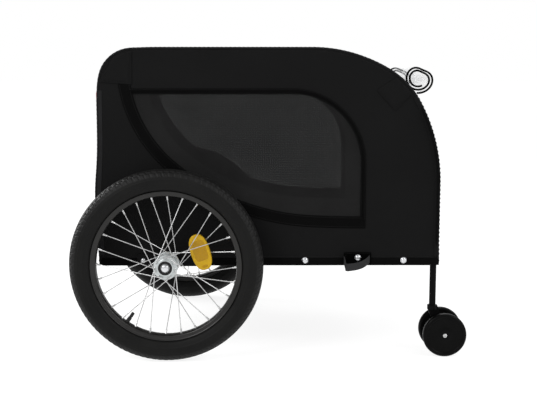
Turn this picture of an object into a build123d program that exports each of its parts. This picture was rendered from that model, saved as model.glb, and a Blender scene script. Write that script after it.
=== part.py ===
"""Two-wheeled dog trailer for towing behind a bicycle.

A fabric cabin is stretched over two bent tube hoops, which stand on a low rectangular tube frame.
Two spoked 16 inch wheels turn on stub axles, and a swivelling twin caster under the right front
corner holds the trailer level when it is parked.

Millimetres. +X is forwards, +Y is to the trailer's left and +Z is up. The origin is on the floor,
under the middle of the whole trailer's bounding box.
"""

import os
from math import cos, radians, sin, sqrt

from build123d import *

# ---------------------------------------------------------------- driving dimensions
# Main wheels
wheel_radius = 200.0
wheel_standoff = 42.0
tyre_width = 46.0
tyre_wall = 4.0
bead_depth = 8.0
bead_width = 3.0
rim_outer_radius = 158.0
rim_inner_radius = 144.5
rim_width = 27.0
rim_wall = 2.0
spoke_count = 28
spoke_crosses = 3
spoke_radius = 1.0
nipple_radius = 2.0
nipple_length = 9.0
first_spoke_angle = 88.7
flange_edge = 4.0
flange_bevel = 2.0
flange_thickness = 3.0
flange_spacing = 46.0
spoke_hole_radius = 21.0
barrel_radius = 13.0
collar_radius = 17.0
collar_length = 4.0
hub_length = 58.0
axle_radius = 6.0
axle_head_radius = 9.0
axle_head_length = 6.0
reflector_length = 74.0
reflector_width = 40.0
reflector_thickness = 9.0
reflector_inset = 68.5
reflector_angle = 22.0
reflector_lean = 8.0
reflector_clip = 19.0
valve_radius = 3.8
valve_length = 27.5
valve_angle = -125.0

# Cabin outline, seen from the side and measured from the axle and the floor
body_rear_reach = 142.5
body_front_reach = 570.0
body_bottom = 194.0
body_top = 646.0
body_width = 496.0
fabric = 2.5
rear_corner_radius = 80.0
brow_radius = 306.0
bend_radius = 150.0
chin_radius = 357.0
brow_angle = 36.0
bend_angle = 60.0

# Tube frame
hoop_radius = 8.0
hoop_wall = 1.0
rail_height = 20.0
rail_wall = 1.5
board_thickness = 4.0
board_edge_gap = 1.0
rear_bar_angle = 45.0
front_bar_angle = 48.0

# Side windows, measured from the axle and the floor
window_front = 403.0
window_top = 551.0
window_bottom = 295.6
window_corner_radius = 144.0
window_sill_radius = 1980.0
window_sill_angle = 3.0
window_belly_radius = 475.0
window_belly_angle = 40.6
window_haunch_radius = 260.0
window_seam = 4.0
mesh_thickness = 1.2

# Doors
door_clearance = 5.0
door_border = 28.0
rear_door_width = 330.0
rear_door_bottom = 226.0
rear_door_top = 540.0
rear_door_corner = 40.0
front_door_bottom = 230.0
front_door_corner = 40.0
roof_seam_height = 572.0

# Rolled rain cover and its two ties
roll_radius = 30.0
roll_length = 330.0
roll_angle = 51.5
tie_thickness = 1.5
tie_width = 20.0
tie_spacing = 190.0

# Axle brackets
bracket_length = 130.0
bracket_height = 26.0
bracket_thickness = 4.0
bracket_corner_radius = 6.5
bracket_boss_radius = 13.0

# Webbing loop on the right side
loop_rear = 368.0
loop_front = 424.0
loop_bottom = 186.0
loop_height = 18.0
loop_reach = 36.0
loop_thickness = 2.5
loop_bend_radius = 7.0

# Drawbar socket under the left rail
socket_bore_radius = 13.0
socket_wall = 2.5
socket_length = 90.0
socket_web_height = 3.0
socket_web_width = 8.0

# Parking caster
leg_wall = 1.5
leg_insertion = 60.0
caster_radius = 46.0
caster_width = 76.0
caster_disc_width = 17.0
caster_trail = 22.0
caster_web = 10.0
caster_collar_radius = 10.0
caster_collar_height = 9.0
caster_collar_gap = 3.0
caster_pin_length = 30.0
caster_axle_radius = 4.0
caster_boss_radius = 9.0
caster_edge_fillet = 5.0

# Rear reflectors
rear_reflector_width = 50.0
rear_reflector_height = 20.0
rear_reflector_thickness = 5.0
rear_reflector_corner = 6.5
rear_reflector_drop = 26.0
rear_reflector_spacing = 400.0

# Clearances
seat_gap = 0.3
weld_gap = 0.2
running_gap = 0.1
end_gap = 0.5

# ---------------------------------------------------------------- derived places
hoop_inset = fabric + seat_gap + hoop_radius
caster_reach = body_front_reach - hoop_inset + caster_trail + caster_radius
axle_x = (wheel_radius - caster_reach) / 2
body_rear = axle_x - body_rear_reach
body_front = axle_x + body_front_reach
half_width = body_width / 2
flange_radius = spoke_hole_radius + flange_edge
leg_radius = hoop_radius - hoop_wall - running_gap
leg_bore_radius = leg_radius - leg_wall
panel_inner_y = half_width - fabric
wrap_half_width = panel_inner_y - weld_gap
hoop_y = half_width - hoop_inset
leg_rear_x = body_rear + hoop_inset
leg_front_x = body_front - hoop_inset
rail_z = body_bottom + rail_height / 2
valve_tip_radius = rim_inner_radius + 2 * rim_wall - valve_length
board_bottom = body_bottom + rail_height
wheel_y = half_width + wheel_standoff
rail_width = 2 * hoop_radius
reflector_orbit = rim_inner_radius - reflector_inset
far = 4 * body_front_reach

SIDES = {"right": -1, "left": 1}


def save(sub_part, name):
    """Labels a finished piece and writes it as one STEP file."""
    sub_part.part.label = name
    export_step(sub_part.part, f"parts/{name}.step")


def side_plane(y):
    """Plane across Y, seen from the trailer's right: local x is +X and local y is +Z."""
    return Plane(origin=(0, y, 0), x_dir=(1, 0, 0), z_dir=(0, -1, 0))


def end_plane(x):
    """Plane across X, seen from the front: local x is +Y and local y is +Z."""
    return Plane(origin=(x, 0, 0), x_dir=(0, 1, 0), z_dir=(1, 0, 0))


def outline_points(inset):
    """Points where the lines and arcs of the cabin outline meet, drawn in by inset.

    From the rear bottom they run up the back, over the roof and down the front.
    """
    rear_x = body_rear + inset
    front_x = body_front - inset
    top_z = body_top - inset
    corner = rear_corner_radius - inset
    brow, bend, chin = brow_radius - inset, bend_radius - inset, chin_radius - inset
    brow_sin, brow_cos = sin(radians(brow_angle)), cos(radians(brow_angle))
    bend_sin, bend_cos = sin(radians(bend_angle)), cos(radians(bend_angle))
    chin_x = front_x - chin * (1 - bend_sin)
    bend_x = chin_x - bend * (bend_sin - brow_sin)
    brow_x = bend_x - brow * brow_sin
    bend_z = top_z - brow * (1 - brow_cos)
    chin_z = bend_z - bend * (brow_cos - bend_cos)
    front_z = chin_z - chin * bend_cos
    return {
        "rear_bottom": (rear_x, body_bottom),
        "rear_top": (rear_x, top_z - corner),
        "roof_rear": (rear_x + corner, top_z),
        "brow": (brow_x, top_z),
        "bend": (bend_x, bend_z),
        "chin": (chin_x, chin_z),
        "front_top": (front_x, front_z),
        "front_bottom": (front_x, body_bottom),
    }


def on_bend(radius, angle):
    """A point at a radius from the centre of the front bend, at an angle forward of vertical."""
    bend_x, bend_z = outline_points(0)["bend"]
    centre_x = bend_x - bend_radius * sin(radians(brow_angle))
    centre_z = bend_z - bend_radius * cos(radians(brow_angle))
    return centre_x + radius * sin(radians(angle)), centre_z + radius * cos(radians(angle))


def draw_outline(inset, closed):
    """Draws the cabin outline into the line that is being built."""
    p = outline_points(inset)
    Line(p["rear_bottom"], p["rear_top"])
    RadiusArc(p["rear_top"], p["roof_rear"], rear_corner_radius - inset)
    Line(p["roof_rear"], p["brow"])
    RadiusArc(p["brow"], p["bend"], brow_radius - inset)
    RadiusArc(p["bend"], p["chin"], bend_radius - inset)
    RadiusArc(p["chin"], p["front_top"], chin_radius - inset)
    Line(p["front_top"], p["front_bottom"])
    if closed:
        Line(p["front_bottom"], p["rear_bottom"])


def cabin_block(inset):
    """Everything inside the cabin outline, drawn in by inset, as wide as the wrap."""
    with BuildPart(mode=Mode.PRIVATE) as block:
        with BuildSketch(side_plane(wrap_half_width)):
            with BuildLine():
                draw_outline(inset, closed=True)
            make_face()
        extrude(amount=2 * wrap_half_width)
    return block.part


def span_block(low_x, high_x, low_z, high_z):
    """A block wider than the trailer, between two places along X and two heights."""
    middle = Pos((low_x + high_x) / 2, 0, (low_z + high_z) / 2)
    return middle * Box(high_x - low_x, 2 * body_width, high_z - low_z, mode=Mode.PRIVATE)


def window_sweep(margin):
    """Points on the window's lower and rear edge, which is three arcs that tighten as they rise."""
    x, z = axle_x + window_front, window_bottom - margin
    arcs = (
        (window_sill_radius + margin, 0, window_sill_angle),
        (window_belly_radius + margin, window_sill_angle, window_belly_angle),
    )
    points = [(x, z)]
    for radius, start, end in arcs:
        x -= radius * (sin(radians(end)) - sin(radians(start)))
        z += radius * (cos(radians(start)) - cos(radians(end)))
        points.append((x, z))
    haunch = window_haunch_radius + margin
    top_cos = cos(radians(window_belly_angle)) - (window_top + margin - z) / haunch
    x -= haunch * (sqrt(1 - top_cos**2) - sin(radians(window_belly_angle)))
    points.append((x, window_top + margin))
    return points


def window_outline(margin):
    """Side window, enlarged all round by margin."""
    front = axle_x + window_front + margin
    top = window_top + margin
    corner = window_corner_radius + margin
    sill, belly, haunch, rear_top = window_sweep(margin)
    with BuildSketch(mode=Mode.PRIVATE) as window:
        with BuildLine():
            Line(rear_top, (front - corner, top))
            RadiusArc((front - corner, top), (front, top - corner), corner)
            Line((front, top - corner), (front, sill[1]))
            Line((front, sill[1]), sill)
            RadiusArc(sill, belly, window_sill_radius + margin)
            RadiusArc(belly, haunch, window_belly_radius + margin)
            RadiusArc(haunch, rear_top, window_haunch_radius + margin)
        make_face()
    return window.sketch


def door_outline(width, bottom, top, corner, shrink):
    """Rounded door, centred on the trailer and drawn in all round by shrink."""
    with BuildSketch(mode=Mode.PRIVATE) as door:
        with Locations((0, (bottom + top) / 2)):
            RectangleRounded(width - 2 * shrink, top - bottom - 2 * shrink, corner - shrink)
    return door.sketch


def rear_door_shape(shrink):
    """The rear door is a flap inside the rear panel, drawn in all round by shrink."""
    return door_outline(rear_door_width, rear_door_bottom, rear_door_top, rear_door_corner, shrink)


def front_door_shape(shrink):
    """The front door fills the cabin's whole width, from its sill up to the roof's front seam."""
    seam_z = outline_points(0)["chin"][1]
    return door_outline(2 * panel_inner_y, front_door_bottom, seam_z, front_door_corner, shrink)


def wheel_point(radius, angle, offset, sign):
    """A point on a main wheel, with its offset outboard of the wheel's middle plane."""
    return Vector(
        axle_x + radius * cos(radians(angle)),
        sign * (wheel_y + offset),
        wheel_radius + radius * sin(radians(angle)),
    )


def valve_plane(sign):
    """Plane at the valve's tip, facing out along the wheel's radius."""
    tip = wheel_point(valve_tip_radius, valve_angle, 0, sign)
    return Plane(origin=tip, z_dir=wheel_point(rim_inner_radius, valve_angle, 0, sign) - tip)


def spoke_share(radius):
    """The share of a spoke's length that lies inside a radius of the wheel."""
    inside = sqrt(radius**2 - spoke_hole_radius**2)
    whole = sqrt(rim_inner_radius**2 - spoke_hole_radius**2)
    return inside / whole


def spoke_start(leads):
    """Where a spoke starts, measured along the axle from the wheel's middle plane.

    A trailing spoke lies on its flange's inner face. A leading one starts far enough outside to
    clear the flange's edge.
    """
    clear = flange_thickness / 2 + weld_gap + spoke_radius
    if leads:
        return (flange_spacing / 2 + clear) / (1 - spoke_share(flange_radius))
    return flange_spacing / 2 - clear


def spoke_ends(index, sign):
    """Where a spoke leaves its flange and where it meets the rim.

    Spokes go to the two flanges in turn, and on each flange they lead and trail in turn.
    """
    flange = 1 if index % 2 else -1
    leads = index // 2 % 2
    turn = spoke_crosses * 720 / spoke_count
    rim_angle = first_spoke_angle + index * 360 / spoke_count
    hub_angle = rim_angle + turn if leads else rim_angle - turn
    hub_point = wheel_point(spoke_hole_radius, hub_angle, flange * spoke_start(leads), sign)
    return hub_point, wheel_point(rim_inner_radius, rim_angle, 0, sign)


os.makedirs("parts", exist_ok=True)
outline = outline_points(0)
chin_z = outline["chin"][1]

# ---------------------------------------------------------------- tube frame
for side, sign in SIDES.items():
    with BuildPart() as hoop:
        with BuildLine(side_plane(sign * hoop_y)) as hoop_line:
            draw_outline(hoop_inset, closed=False)
        with BuildSketch(Plane(origin=(leg_rear_x, sign * hoop_y, body_bottom))):
            Circle(hoop_radius)
            Circle(hoop_radius - hoop_wall, mode=Mode.SUBTRACT)
        sweep(path=hoop_line.line)
    save(hoop, f"hoop_{side}")

    with BuildPart() as side_rail:
        rail_start = Plane(
            origin=(leg_rear_x, sign * hoop_y, rail_z), x_dir=(0, 1, 0), z_dir=(1, 0, 0)
        )
        with BuildSketch(rail_start):
            Rectangle(rail_width, rail_height)
            Rectangle(rail_width - 2 * rail_wall, rail_height - 2 * rail_wall, mode=Mode.SUBTRACT)
        extrude(amount=leg_front_x - leg_rear_x)
        with Locations((leg_rear_x, sign * hoop_y, rail_z), (leg_front_x, sign * hoop_y, rail_z)):
            Cylinder(hoop_radius + weld_gap, 2 * rail_height, mode=Mode.SUBTRACT)
    save(side_rail, f"side_rail_{side}")

crossbar_reach = hoop_y - rail_width / 2 - weld_gap
for name, bar_x in {"rear": leg_rear_x, "axle": axle_x, "front": leg_front_x}.items():
    with BuildPart() as crossbar:
        bar_start = Plane(
            origin=(bar_x, crossbar_reach, rail_z), x_dir=(1, 0, 0), z_dir=(0, -1, 0)
        )
        with BuildSketch(bar_start):
            Rectangle(rail_width, rail_height)
            Rectangle(rail_width - 2 * rail_wall, rail_height - 2 * rail_wall, mode=Mode.SUBTRACT)
        extrude(amount=2 * crossbar_reach)
    save(crossbar, f"crossbar_{name}")

rear_bar_orbit = rear_corner_radius - hoop_inset
rear_bar_x = body_rear + rear_corner_radius - rear_bar_orbit * sin(radians(rear_bar_angle))
rear_bar_z = body_top - rear_corner_radius + rear_bar_orbit * cos(radians(rear_bar_angle))
roof_bar_reach = hoop_y - hoop_radius - weld_gap
roof_bars = {
    "rear": (rear_bar_x, rear_bar_z),
    "front": on_bend(bend_radius - hoop_inset, front_bar_angle),
}
for name, (bar_x, bar_z) in roof_bars.items():
    with BuildPart() as roof_bar:
        with BuildSketch(side_plane(roof_bar_reach)):
            with Locations((bar_x, bar_z)):
                Circle(hoop_radius)
                Circle(hoop_radius - hoop_wall, mode=Mode.SUBTRACT)
        extrude(amount=2 * roof_bar_reach)
    save(roof_bar, f"roof_bar_{name}")

with BuildPart() as floor_board:
    with BuildSketch(Plane.XY.offset(board_bottom)):
        with Locations(((leg_rear_x + leg_front_x) / 2, 0)):
            Rectangle(leg_front_x - leg_rear_x, 2 * (hoop_y - hoop_radius - board_edge_gap))
    extrude(amount=board_thickness)
save(floor_board, "floor_board")

# ---------------------------------------------------------------- cabin fabric
for side, sign in SIDES.items():
    outer_y = half_width if side == "left" else -panel_inner_y
    with BuildPart() as side_panel:
        with BuildSketch(side_plane(outer_y)):
            with BuildLine():
                draw_outline(0, closed=True)
            make_face()
            add(window_outline(window_seam), mode=Mode.SUBTRACT)
        extrude(amount=fabric)
    save(side_panel, f"side_panel_{side}")

    with BuildPart() as window_mesh:
        with BuildSketch(side_plane(outer_y - (fabric - mesh_thickness) / 2)):
            add(window_outline(window_seam - seat_gap))
        extrude(amount=mesh_thickness)
    save(window_mesh, f"window_mesh_{side}")

with BuildPart() as roof_panel:
    add(cabin_block(0))
    add(cabin_block(fabric), mode=Mode.SUBTRACT)
    add(span_block(-far, 0, 0, roof_seam_height), mode=Mode.SUBTRACT)
    add(span_block(-fabric, far, 0, chin_z), mode=Mode.SUBTRACT)
save(roof_panel, "roof_panel")

with BuildPart() as rear_panel:
    with BuildSketch(end_plane(body_rear)):
        with Locations((0, body_bottom)):
            Rectangle(
                2 * wrap_half_width,
                roof_seam_height - weld_gap - body_bottom,
                align=(Align.CENTER, Align.MIN),
            )
        add(rear_door_shape(0), mode=Mode.SUBTRACT)
    extrude(amount=fabric)
save(rear_panel, "rear_panel")

# Each door hangs by a rolled hem that lies in the gap along its hinge edge.
hem_radius = door_clearance / 2 - seat_gap
rear_hem_width = rear_door_width - 2 * rear_door_corner
with BuildPart() as rear_door:
    with BuildSketch(end_plane(body_rear)):
        add(rear_door_shape(door_clearance))
        with Locations((0, rear_door_top - door_clearance)):
            Rectangle(rear_hem_width, door_clearance)
    extrude(amount=fabric)
    with BuildSketch(side_plane(rear_hem_width / 2)):
        with Locations((body_rear, rear_door_top - door_clearance / 2)):
            Circle(hem_radius)
    extrude(amount=rear_hem_width)
save(rear_door, "rear_door")

with BuildPart() as front_sill:
    with BuildSketch(end_plane(body_front)):
        with Locations((0, body_bottom)):
            Rectangle(
                2 * wrap_half_width,
                front_door_bottom - body_bottom,
                align=(Align.CENTER, Align.MIN),
            )
    extrude(amount=-fabric)
save(front_sill, "front_sill")

front_hem_width = 2 * (panel_inner_y - front_door_corner)
with BuildPart() as front_door:
    add(cabin_block(0))
    add(cabin_block(fabric), mode=Mode.SUBTRACT)
    with BuildSketch(end_plane(0)):
        add(front_door_shape(door_clearance))
        with Locations((0, front_door_bottom + door_clearance)):
            Rectangle(front_hem_width, door_clearance)
        add(front_door_shape(door_clearance + door_border), mode=Mode.SUBTRACT)
    extrude(amount=far, mode=Mode.INTERSECT)
    with BuildSketch(side_plane(front_hem_width / 2)):
        with Locations((body_front, front_door_bottom + door_clearance / 2)):
            Circle(hem_radius)
    extrude(amount=front_hem_width)
save(front_door, "front_door")

mesh_inset = (fabric - mesh_thickness) / 2
with BuildPart() as front_door_mesh:
    add(cabin_block(mesh_inset))
    add(cabin_block(mesh_inset + mesh_thickness), mode=Mode.SUBTRACT)
    with BuildSketch(end_plane(0)):
        add(front_door_shape(door_clearance + door_border + seat_gap))
    extrude(amount=far, mode=Mode.INTERSECT)
save(front_door_mesh, "front_door_mesh")

# ---------------------------------------------------------------- rolled rain cover
roll_x, roll_z = on_bend(bend_radius + seat_gap + roll_radius, roll_angle)
with BuildPart() as rain_cover:
    with BuildSketch(side_plane(roll_length / 2)):
        with Locations((roll_x, roll_z)):
            Circle(roll_radius)
    extrude(amount=roll_length)
save(rain_cover, "rain_cover")

with BuildPart() as cover_ties:
    for tie_y in (-tie_spacing / 2, tie_spacing / 2):
        with BuildSketch(side_plane(tie_y + tie_width / 2)):
            with Locations((roll_x, roll_z)):
                Circle(roll_radius + seat_gap + tie_thickness)
                Circle(roll_radius + seat_gap, mode=Mode.SUBTRACT)
        extrude(amount=tie_width)
    add(cabin_block(-seat_gap), mode=Mode.SUBTRACT)
save(cover_ties, "cover_ties")

# ---------------------------------------------------------------- side fittings
with BuildPart() as webbing_loop:
    root_y = -panel_inner_y
    tip_y = -half_width - loop_reach
    loop_middle = loop_bottom + loop_height / 2
    with BuildLine(Plane.XY.offset(loop_middle)) as loop_line:
        FilletPolyline(
            (axle_x + loop_rear, root_y),
            (axle_x + loop_rear, tip_y),
            (axle_x + loop_front, root_y),
            radius=loop_bend_radius,
        )
    loop_start = Plane(
        origin=(axle_x + loop_rear, root_y, loop_middle), x_dir=(1, 0, 0), z_dir=(0, -1, 0)
    )
    with BuildSketch(loop_start):
        Rectangle(loop_thickness, loop_height)
    sweep(path=loop_line.line)
    with Locations((0, 0, loop_middle)):
        Box(far, body_width + 2 * weld_gap, 2 * loop_height, mode=Mode.SUBTRACT)
save(webbing_loop, "webbing_loop")

socket_outer_radius = socket_bore_radius + socket_wall
socket_z = body_bottom - weld_gap - socket_web_height - socket_outer_radius
with BuildPart() as drawbar_socket:
    socket_mouth = Plane(
        origin=(leg_front_x, hoop_y, socket_z), x_dir=(0, -1, 0), z_dir=(-1, 0, 0)
    )
    with BuildSketch(socket_mouth):
        Circle(socket_outer_radius)
        Rectangle(
            socket_web_width,
            socket_outer_radius + socket_web_height,
            align=(Align.CENTER, Align.MIN),
        )
        Circle(socket_bore_radius, mode=Mode.SUBTRACT)
    extrude(amount=socket_length)
save(drawbar_socket, "drawbar_socket")

with BuildPart() as rear_reflectors:
    reflector_z = roof_seam_height - rear_reflector_drop
    with BuildSketch(end_plane(body_rear - seat_gap)):
        for sign in SIDES.values():
            with Locations((sign * rear_reflector_spacing / 2, reflector_z)):
                RectangleRounded(
                    rear_reflector_width, rear_reflector_height, rear_reflector_corner
                )
    extrude(amount=-rear_reflector_thickness)
save(rear_reflectors, "rear_reflectors")

# ---------------------------------------------------------------- axles and main wheels
hub_end = wheel_y - hub_length / 2
clip_spoke = spoke_start(False) * (1 - spoke_share(reflector_orbit + reflector_clip))
reflector_face = clip_spoke - spoke_radius - seat_gap
plate_y = half_width + weld_gap
wheel_axis_z = wheel_radius

for side, sign in SIDES.items():
    axle_direction = (0, sign, 0)
    along_x = (sign, 0, 0)

    # Looking outboard along the axle: local y is up, and the sketch is extruded outboard.
    def outboard_plane(distance):
        """Plane across the axle at a distance from the trailer's middle, facing outboard."""
        return Plane(
            origin=(axle_x, sign * distance, wheel_axis_z),
            x_dir=(-sign, 0, 0),
            z_dir=axle_direction,
        )

    with BuildPart() as bracket:
        with BuildSketch(outboard_plane(plate_y)):
            with Locations((0, rail_z - wheel_axis_z)):
                RectangleRounded(bracket_length, bracket_height, bracket_corner_radius)
        extrude(amount=bracket_thickness)
        with BuildSketch(outboard_plane(plate_y + bracket_thickness)):
            Circle(bracket_boss_radius)
        extrude(amount=hub_end - end_gap - plate_y - bracket_thickness)
        with BuildSketch(outboard_plane(plate_y)):
            Circle(axle_radius + running_gap)
        extrude(amount=hub_end, mode=Mode.SUBTRACT)
    save(bracket, f"axle_bracket_{side}")

    with BuildPart() as axle:
        with BuildSketch(outboard_plane(plate_y)):
            Circle(axle_radius)
        extrude(amount=hub_end + hub_length + end_gap - plate_y)
        with BuildSketch(outboard_plane(hub_end + hub_length + end_gap)):
            RegularPolygon(axle_head_radius, 6, major_radius=False)
        extrude(amount=axle_head_length)
    save(axle, f"axle_{side}")

    wheel_section = Plane(
        origin=(axle_x, sign * wheel_y, wheel_axis_z), x_dir=axle_direction, z_dir=along_x
    )
    wheel_axis = Axis((axle_x, sign * wheel_y, wheel_axis_z), axle_direction)

    with BuildPart() as hub:
        with BuildSketch(wheel_section):
            with BuildLine():
                inner, outer = -hub_length / 2, hub_length / 2
                flange_in = (flange_spacing - flange_thickness) / 2
                flange_out = (flange_spacing + flange_thickness) / 2
                Polyline(
                    (inner, axle_radius + running_gap),
                    (inner, collar_radius),
                    (inner + collar_length, collar_radius),
                    (-flange_out, flange_radius - flange_bevel),
                    (-flange_out, flange_radius),
                    (-flange_in, flange_radius),
                    (-flange_in, barrel_radius),
                    (flange_in, barrel_radius),
                    (flange_in, flange_radius),
                    (flange_out, flange_radius),
                    (flange_out, flange_radius - flange_bevel),
                    (outer - collar_length, collar_radius),
                    (outer, collar_radius),
                    (outer, axle_radius + running_gap),
                    close=True,
                )
            make_face()
        revolve(axis=wheel_axis)
    save(hub, f"hub_{side}")

    with BuildPart() as rim:
        with BuildSketch(wheel_section):
            with Locations((0, (rim_inner_radius + rim_outer_radius) / 2)):
                Rectangle(rim_width, rim_outer_radius - rim_inner_radius)
            with Locations((0, rim_inner_radius + rim_wall)):
                Rectangle(
                    rim_width - 2 * rim_wall,
                    rim_outer_radius,
                    align=(Align.CENTER, Align.MIN),
                    mode=Mode.SUBTRACT,
                )
        revolve(axis=wheel_axis)
        with Locations(valve_plane(sign)):
            Cylinder(
                valve_radius + running_gap,
                rim_outer_radius,
                align=(Align.CENTER, Align.CENTER, Align.MIN),
                mode=Mode.SUBTRACT,
            )
    save(rim, f"rim_{side}")

    with BuildPart() as tyre:
        with BuildSketch(wheel_section):
            with Locations((0, wheel_radius - tyre_width / 2)):
                Circle(tyre_width / 2)
                Circle(tyre_width / 2 - tyre_wall, mode=Mode.SUBTRACT)
            Rectangle(tyre_width, 2 * (rim_outer_radius + weld_gap), mode=Mode.SUBTRACT)
            bead_middle = rim_width / 2 - rim_wall - weld_gap - bead_width / 2
            for bead_offset in (-bead_middle, bead_middle):
                with Locations((bead_offset, rim_outer_radius - bead_depth)):
                    Rectangle(bead_width, bead_depth + tyre_wall, align=(Align.CENTER, Align.MIN))
        revolve(axis=wheel_axis)
    save(tyre, f"tyre_{side}")

    with BuildPart() as valve:
        with Locations(valve_plane(sign)):
            Cylinder(valve_radius, valve_length, align=(Align.CENTER, Align.CENTER, Align.MIN))
    save(valve, f"valve_{side}")

    with BuildPart() as spokes:
        for index in range(spoke_count):
            hub_point, rim_point = spoke_ends(index, sign)
            reach = rim_point - hub_point
            with Locations(Plane(origin=hub_point, z_dir=reach)):
                Cylinder(spoke_radius, reach.length, align=(Align.CENTER, Align.CENTER, Align.MIN))
            with Locations(Plane(origin=rim_point, z_dir=reach)):
                Cylinder(nipple_radius, 2 * nipple_length)
        with Locations(Location((axle_x, sign * wheel_y, wheel_axis_z), (90, 0, 0))):
            Cylinder(rim_inner_radius - weld_gap, hub_length, mode=Mode.INTERSECT)
    save(spokes, f"spokes_{side}")

    with BuildPart() as reflector:
        with BuildSketch(side_plane(sign * (wheel_y + reflector_face))):
            reflector_x = axle_x + reflector_orbit * cos(radians(reflector_angle))
            reflector_z = wheel_axis_z + reflector_orbit * sin(radians(reflector_angle))
            with Locations((reflector_x, reflector_z)):
                SlotOverall(
                    reflector_length,
                    reflector_width,
                    rotation=reflector_angle + 90 - reflector_lean,
                )
        extrude(amount=sign * reflector_thickness)
    save(reflector, f"spoke_reflector_{side}")

# ---------------------------------------------------------------- parking caster
caster_y = -hoop_y
collar_bottom = 2 * caster_radius + caster_collar_gap
collar_top = collar_bottom + caster_collar_height
leg_bottom = collar_top + end_gap
web_face = caster_web / 2
disc_face = caster_width / 2 - caster_disc_width
wheel_centre = (leg_front_x + caster_trail, caster_radius)
up_from = (Align.CENTER, Align.CENTER, Align.MIN)

with BuildPart() as caster_leg:
    leg_length = body_bottom + leg_insertion - leg_bottom
    with Locations((leg_front_x, caster_y, leg_bottom)):
        Cylinder(leg_radius, leg_length, align=up_from)
        Cylinder(leg_bore_radius, leg_length, align=up_from, mode=Mode.SUBTRACT)
save(caster_leg, "caster_leg")

with BuildPart() as caster_body:
    with BuildSketch(side_plane(caster_y + web_face)):
        with Locations(wheel_centre):
            Circle(caster_boss_radius)
        with Locations((leg_front_x, collar_bottom)):
            Rectangle(2 * caster_collar_radius, caster_collar_height, align=(Align.CENTER, Align.MIN))
        make_hull()
    extrude(amount=caster_web)
    with Locations((leg_front_x, caster_y, collar_bottom)):
        Cylinder(caster_collar_radius, caster_collar_height, align=up_from)
    with Locations((leg_front_x, caster_y, collar_top)):
        Cylinder(leg_bore_radius - running_gap, caster_pin_length, align=up_from)
    with BuildSketch(side_plane(caster_y + disc_face - end_gap)):
        with Locations(wheel_centre):
            Circle(caster_boss_radius)
    extrude(amount=2 * (disc_face - end_gap))
    with BuildSketch(side_plane(caster_y + disc_face)):
        with Locations(wheel_centre):
            Circle(caster_axle_radius + running_gap)
    extrude(amount=2 * disc_face, mode=Mode.SUBTRACT)
save(caster_body, "caster_body")

with BuildPart() as caster_wheels:
    hub_axis = Axis((wheel_centre[0], caster_y, wheel_centre[1]), (0, 1, 0))
    section = Plane(
        origin=(wheel_centre[0], caster_y, wheel_centre[1]), x_dir=(0, 1, 0), z_dir=(1, 0, 0)
    )
    with BuildSketch(section) as disc_section:
        Rectangle(caster_width, caster_radius, align=(Align.CENTER, Align.MIN))
        with Locations((0, caster_axle_radius)):
            Rectangle(
                2 * disc_face,
                caster_radius,
                align=(Align.CENTER, Align.MIN),
                mode=Mode.SUBTRACT,
            )
        fillet(disc_section.vertices().group_by(Axis.Y)[-1], caster_edge_fillet)
    revolve(axis=hub_axis)
save(caster_wheels, "caster_wheels")
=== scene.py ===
"""A two-wheeled dog trailer for a bicycle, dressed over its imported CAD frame.

The cabin is black polyester over two bent tube hoops on a low frame, with mesh windows, zipped end
doors and a rolled rain cover. It runs on spoked wheels, and a twin caster holds it up when parked.

Metres, in the frame's own axes: +X forwards, +Y to the trailer's left, +Z up.
"""

import bpy
import numpy as np
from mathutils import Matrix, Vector


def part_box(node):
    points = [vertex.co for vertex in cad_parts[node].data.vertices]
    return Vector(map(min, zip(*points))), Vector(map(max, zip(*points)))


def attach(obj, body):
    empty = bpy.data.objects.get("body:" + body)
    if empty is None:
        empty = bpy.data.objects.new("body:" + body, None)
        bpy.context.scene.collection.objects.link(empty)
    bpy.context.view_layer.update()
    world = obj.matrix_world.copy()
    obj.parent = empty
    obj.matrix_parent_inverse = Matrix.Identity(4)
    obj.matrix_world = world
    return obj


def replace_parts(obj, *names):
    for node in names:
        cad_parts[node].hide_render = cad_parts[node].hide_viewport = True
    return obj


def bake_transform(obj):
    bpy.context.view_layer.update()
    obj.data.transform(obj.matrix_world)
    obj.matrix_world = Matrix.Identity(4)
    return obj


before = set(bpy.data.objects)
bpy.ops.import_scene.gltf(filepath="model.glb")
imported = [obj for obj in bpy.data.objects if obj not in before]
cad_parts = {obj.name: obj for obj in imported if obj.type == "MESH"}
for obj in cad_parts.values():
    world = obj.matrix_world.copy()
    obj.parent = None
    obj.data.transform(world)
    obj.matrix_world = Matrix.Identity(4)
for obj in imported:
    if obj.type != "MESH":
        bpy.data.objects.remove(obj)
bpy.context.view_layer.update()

# ------------------------------------------------------------------ studio
# A pale floor, an even pale sky and soft lamps all round, of which a low one behind the left rims
# the tyres. The camera stands square to the trailer's right side, just under its roof's height.
scene = bpy.context.scene
scene.view_settings.view_transform = "Standard"


def node(tree, kind, inputs=(), output=0, **settings):
    """Adds a node, gives its inputs values or other nodes' outputs, and returns an output."""
    made = tree.nodes.new("ShaderNode" + kind)
    for key, value in settings.items():
        setattr(made, key, value)
    for key, value in dict(inputs).items():
        if isinstance(value, bpy.types.NodeSocket):
            tree.links.new(value, made.inputs[key])
        else:
            made.inputs[key].default_value = value
    return made.outputs[output]


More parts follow.
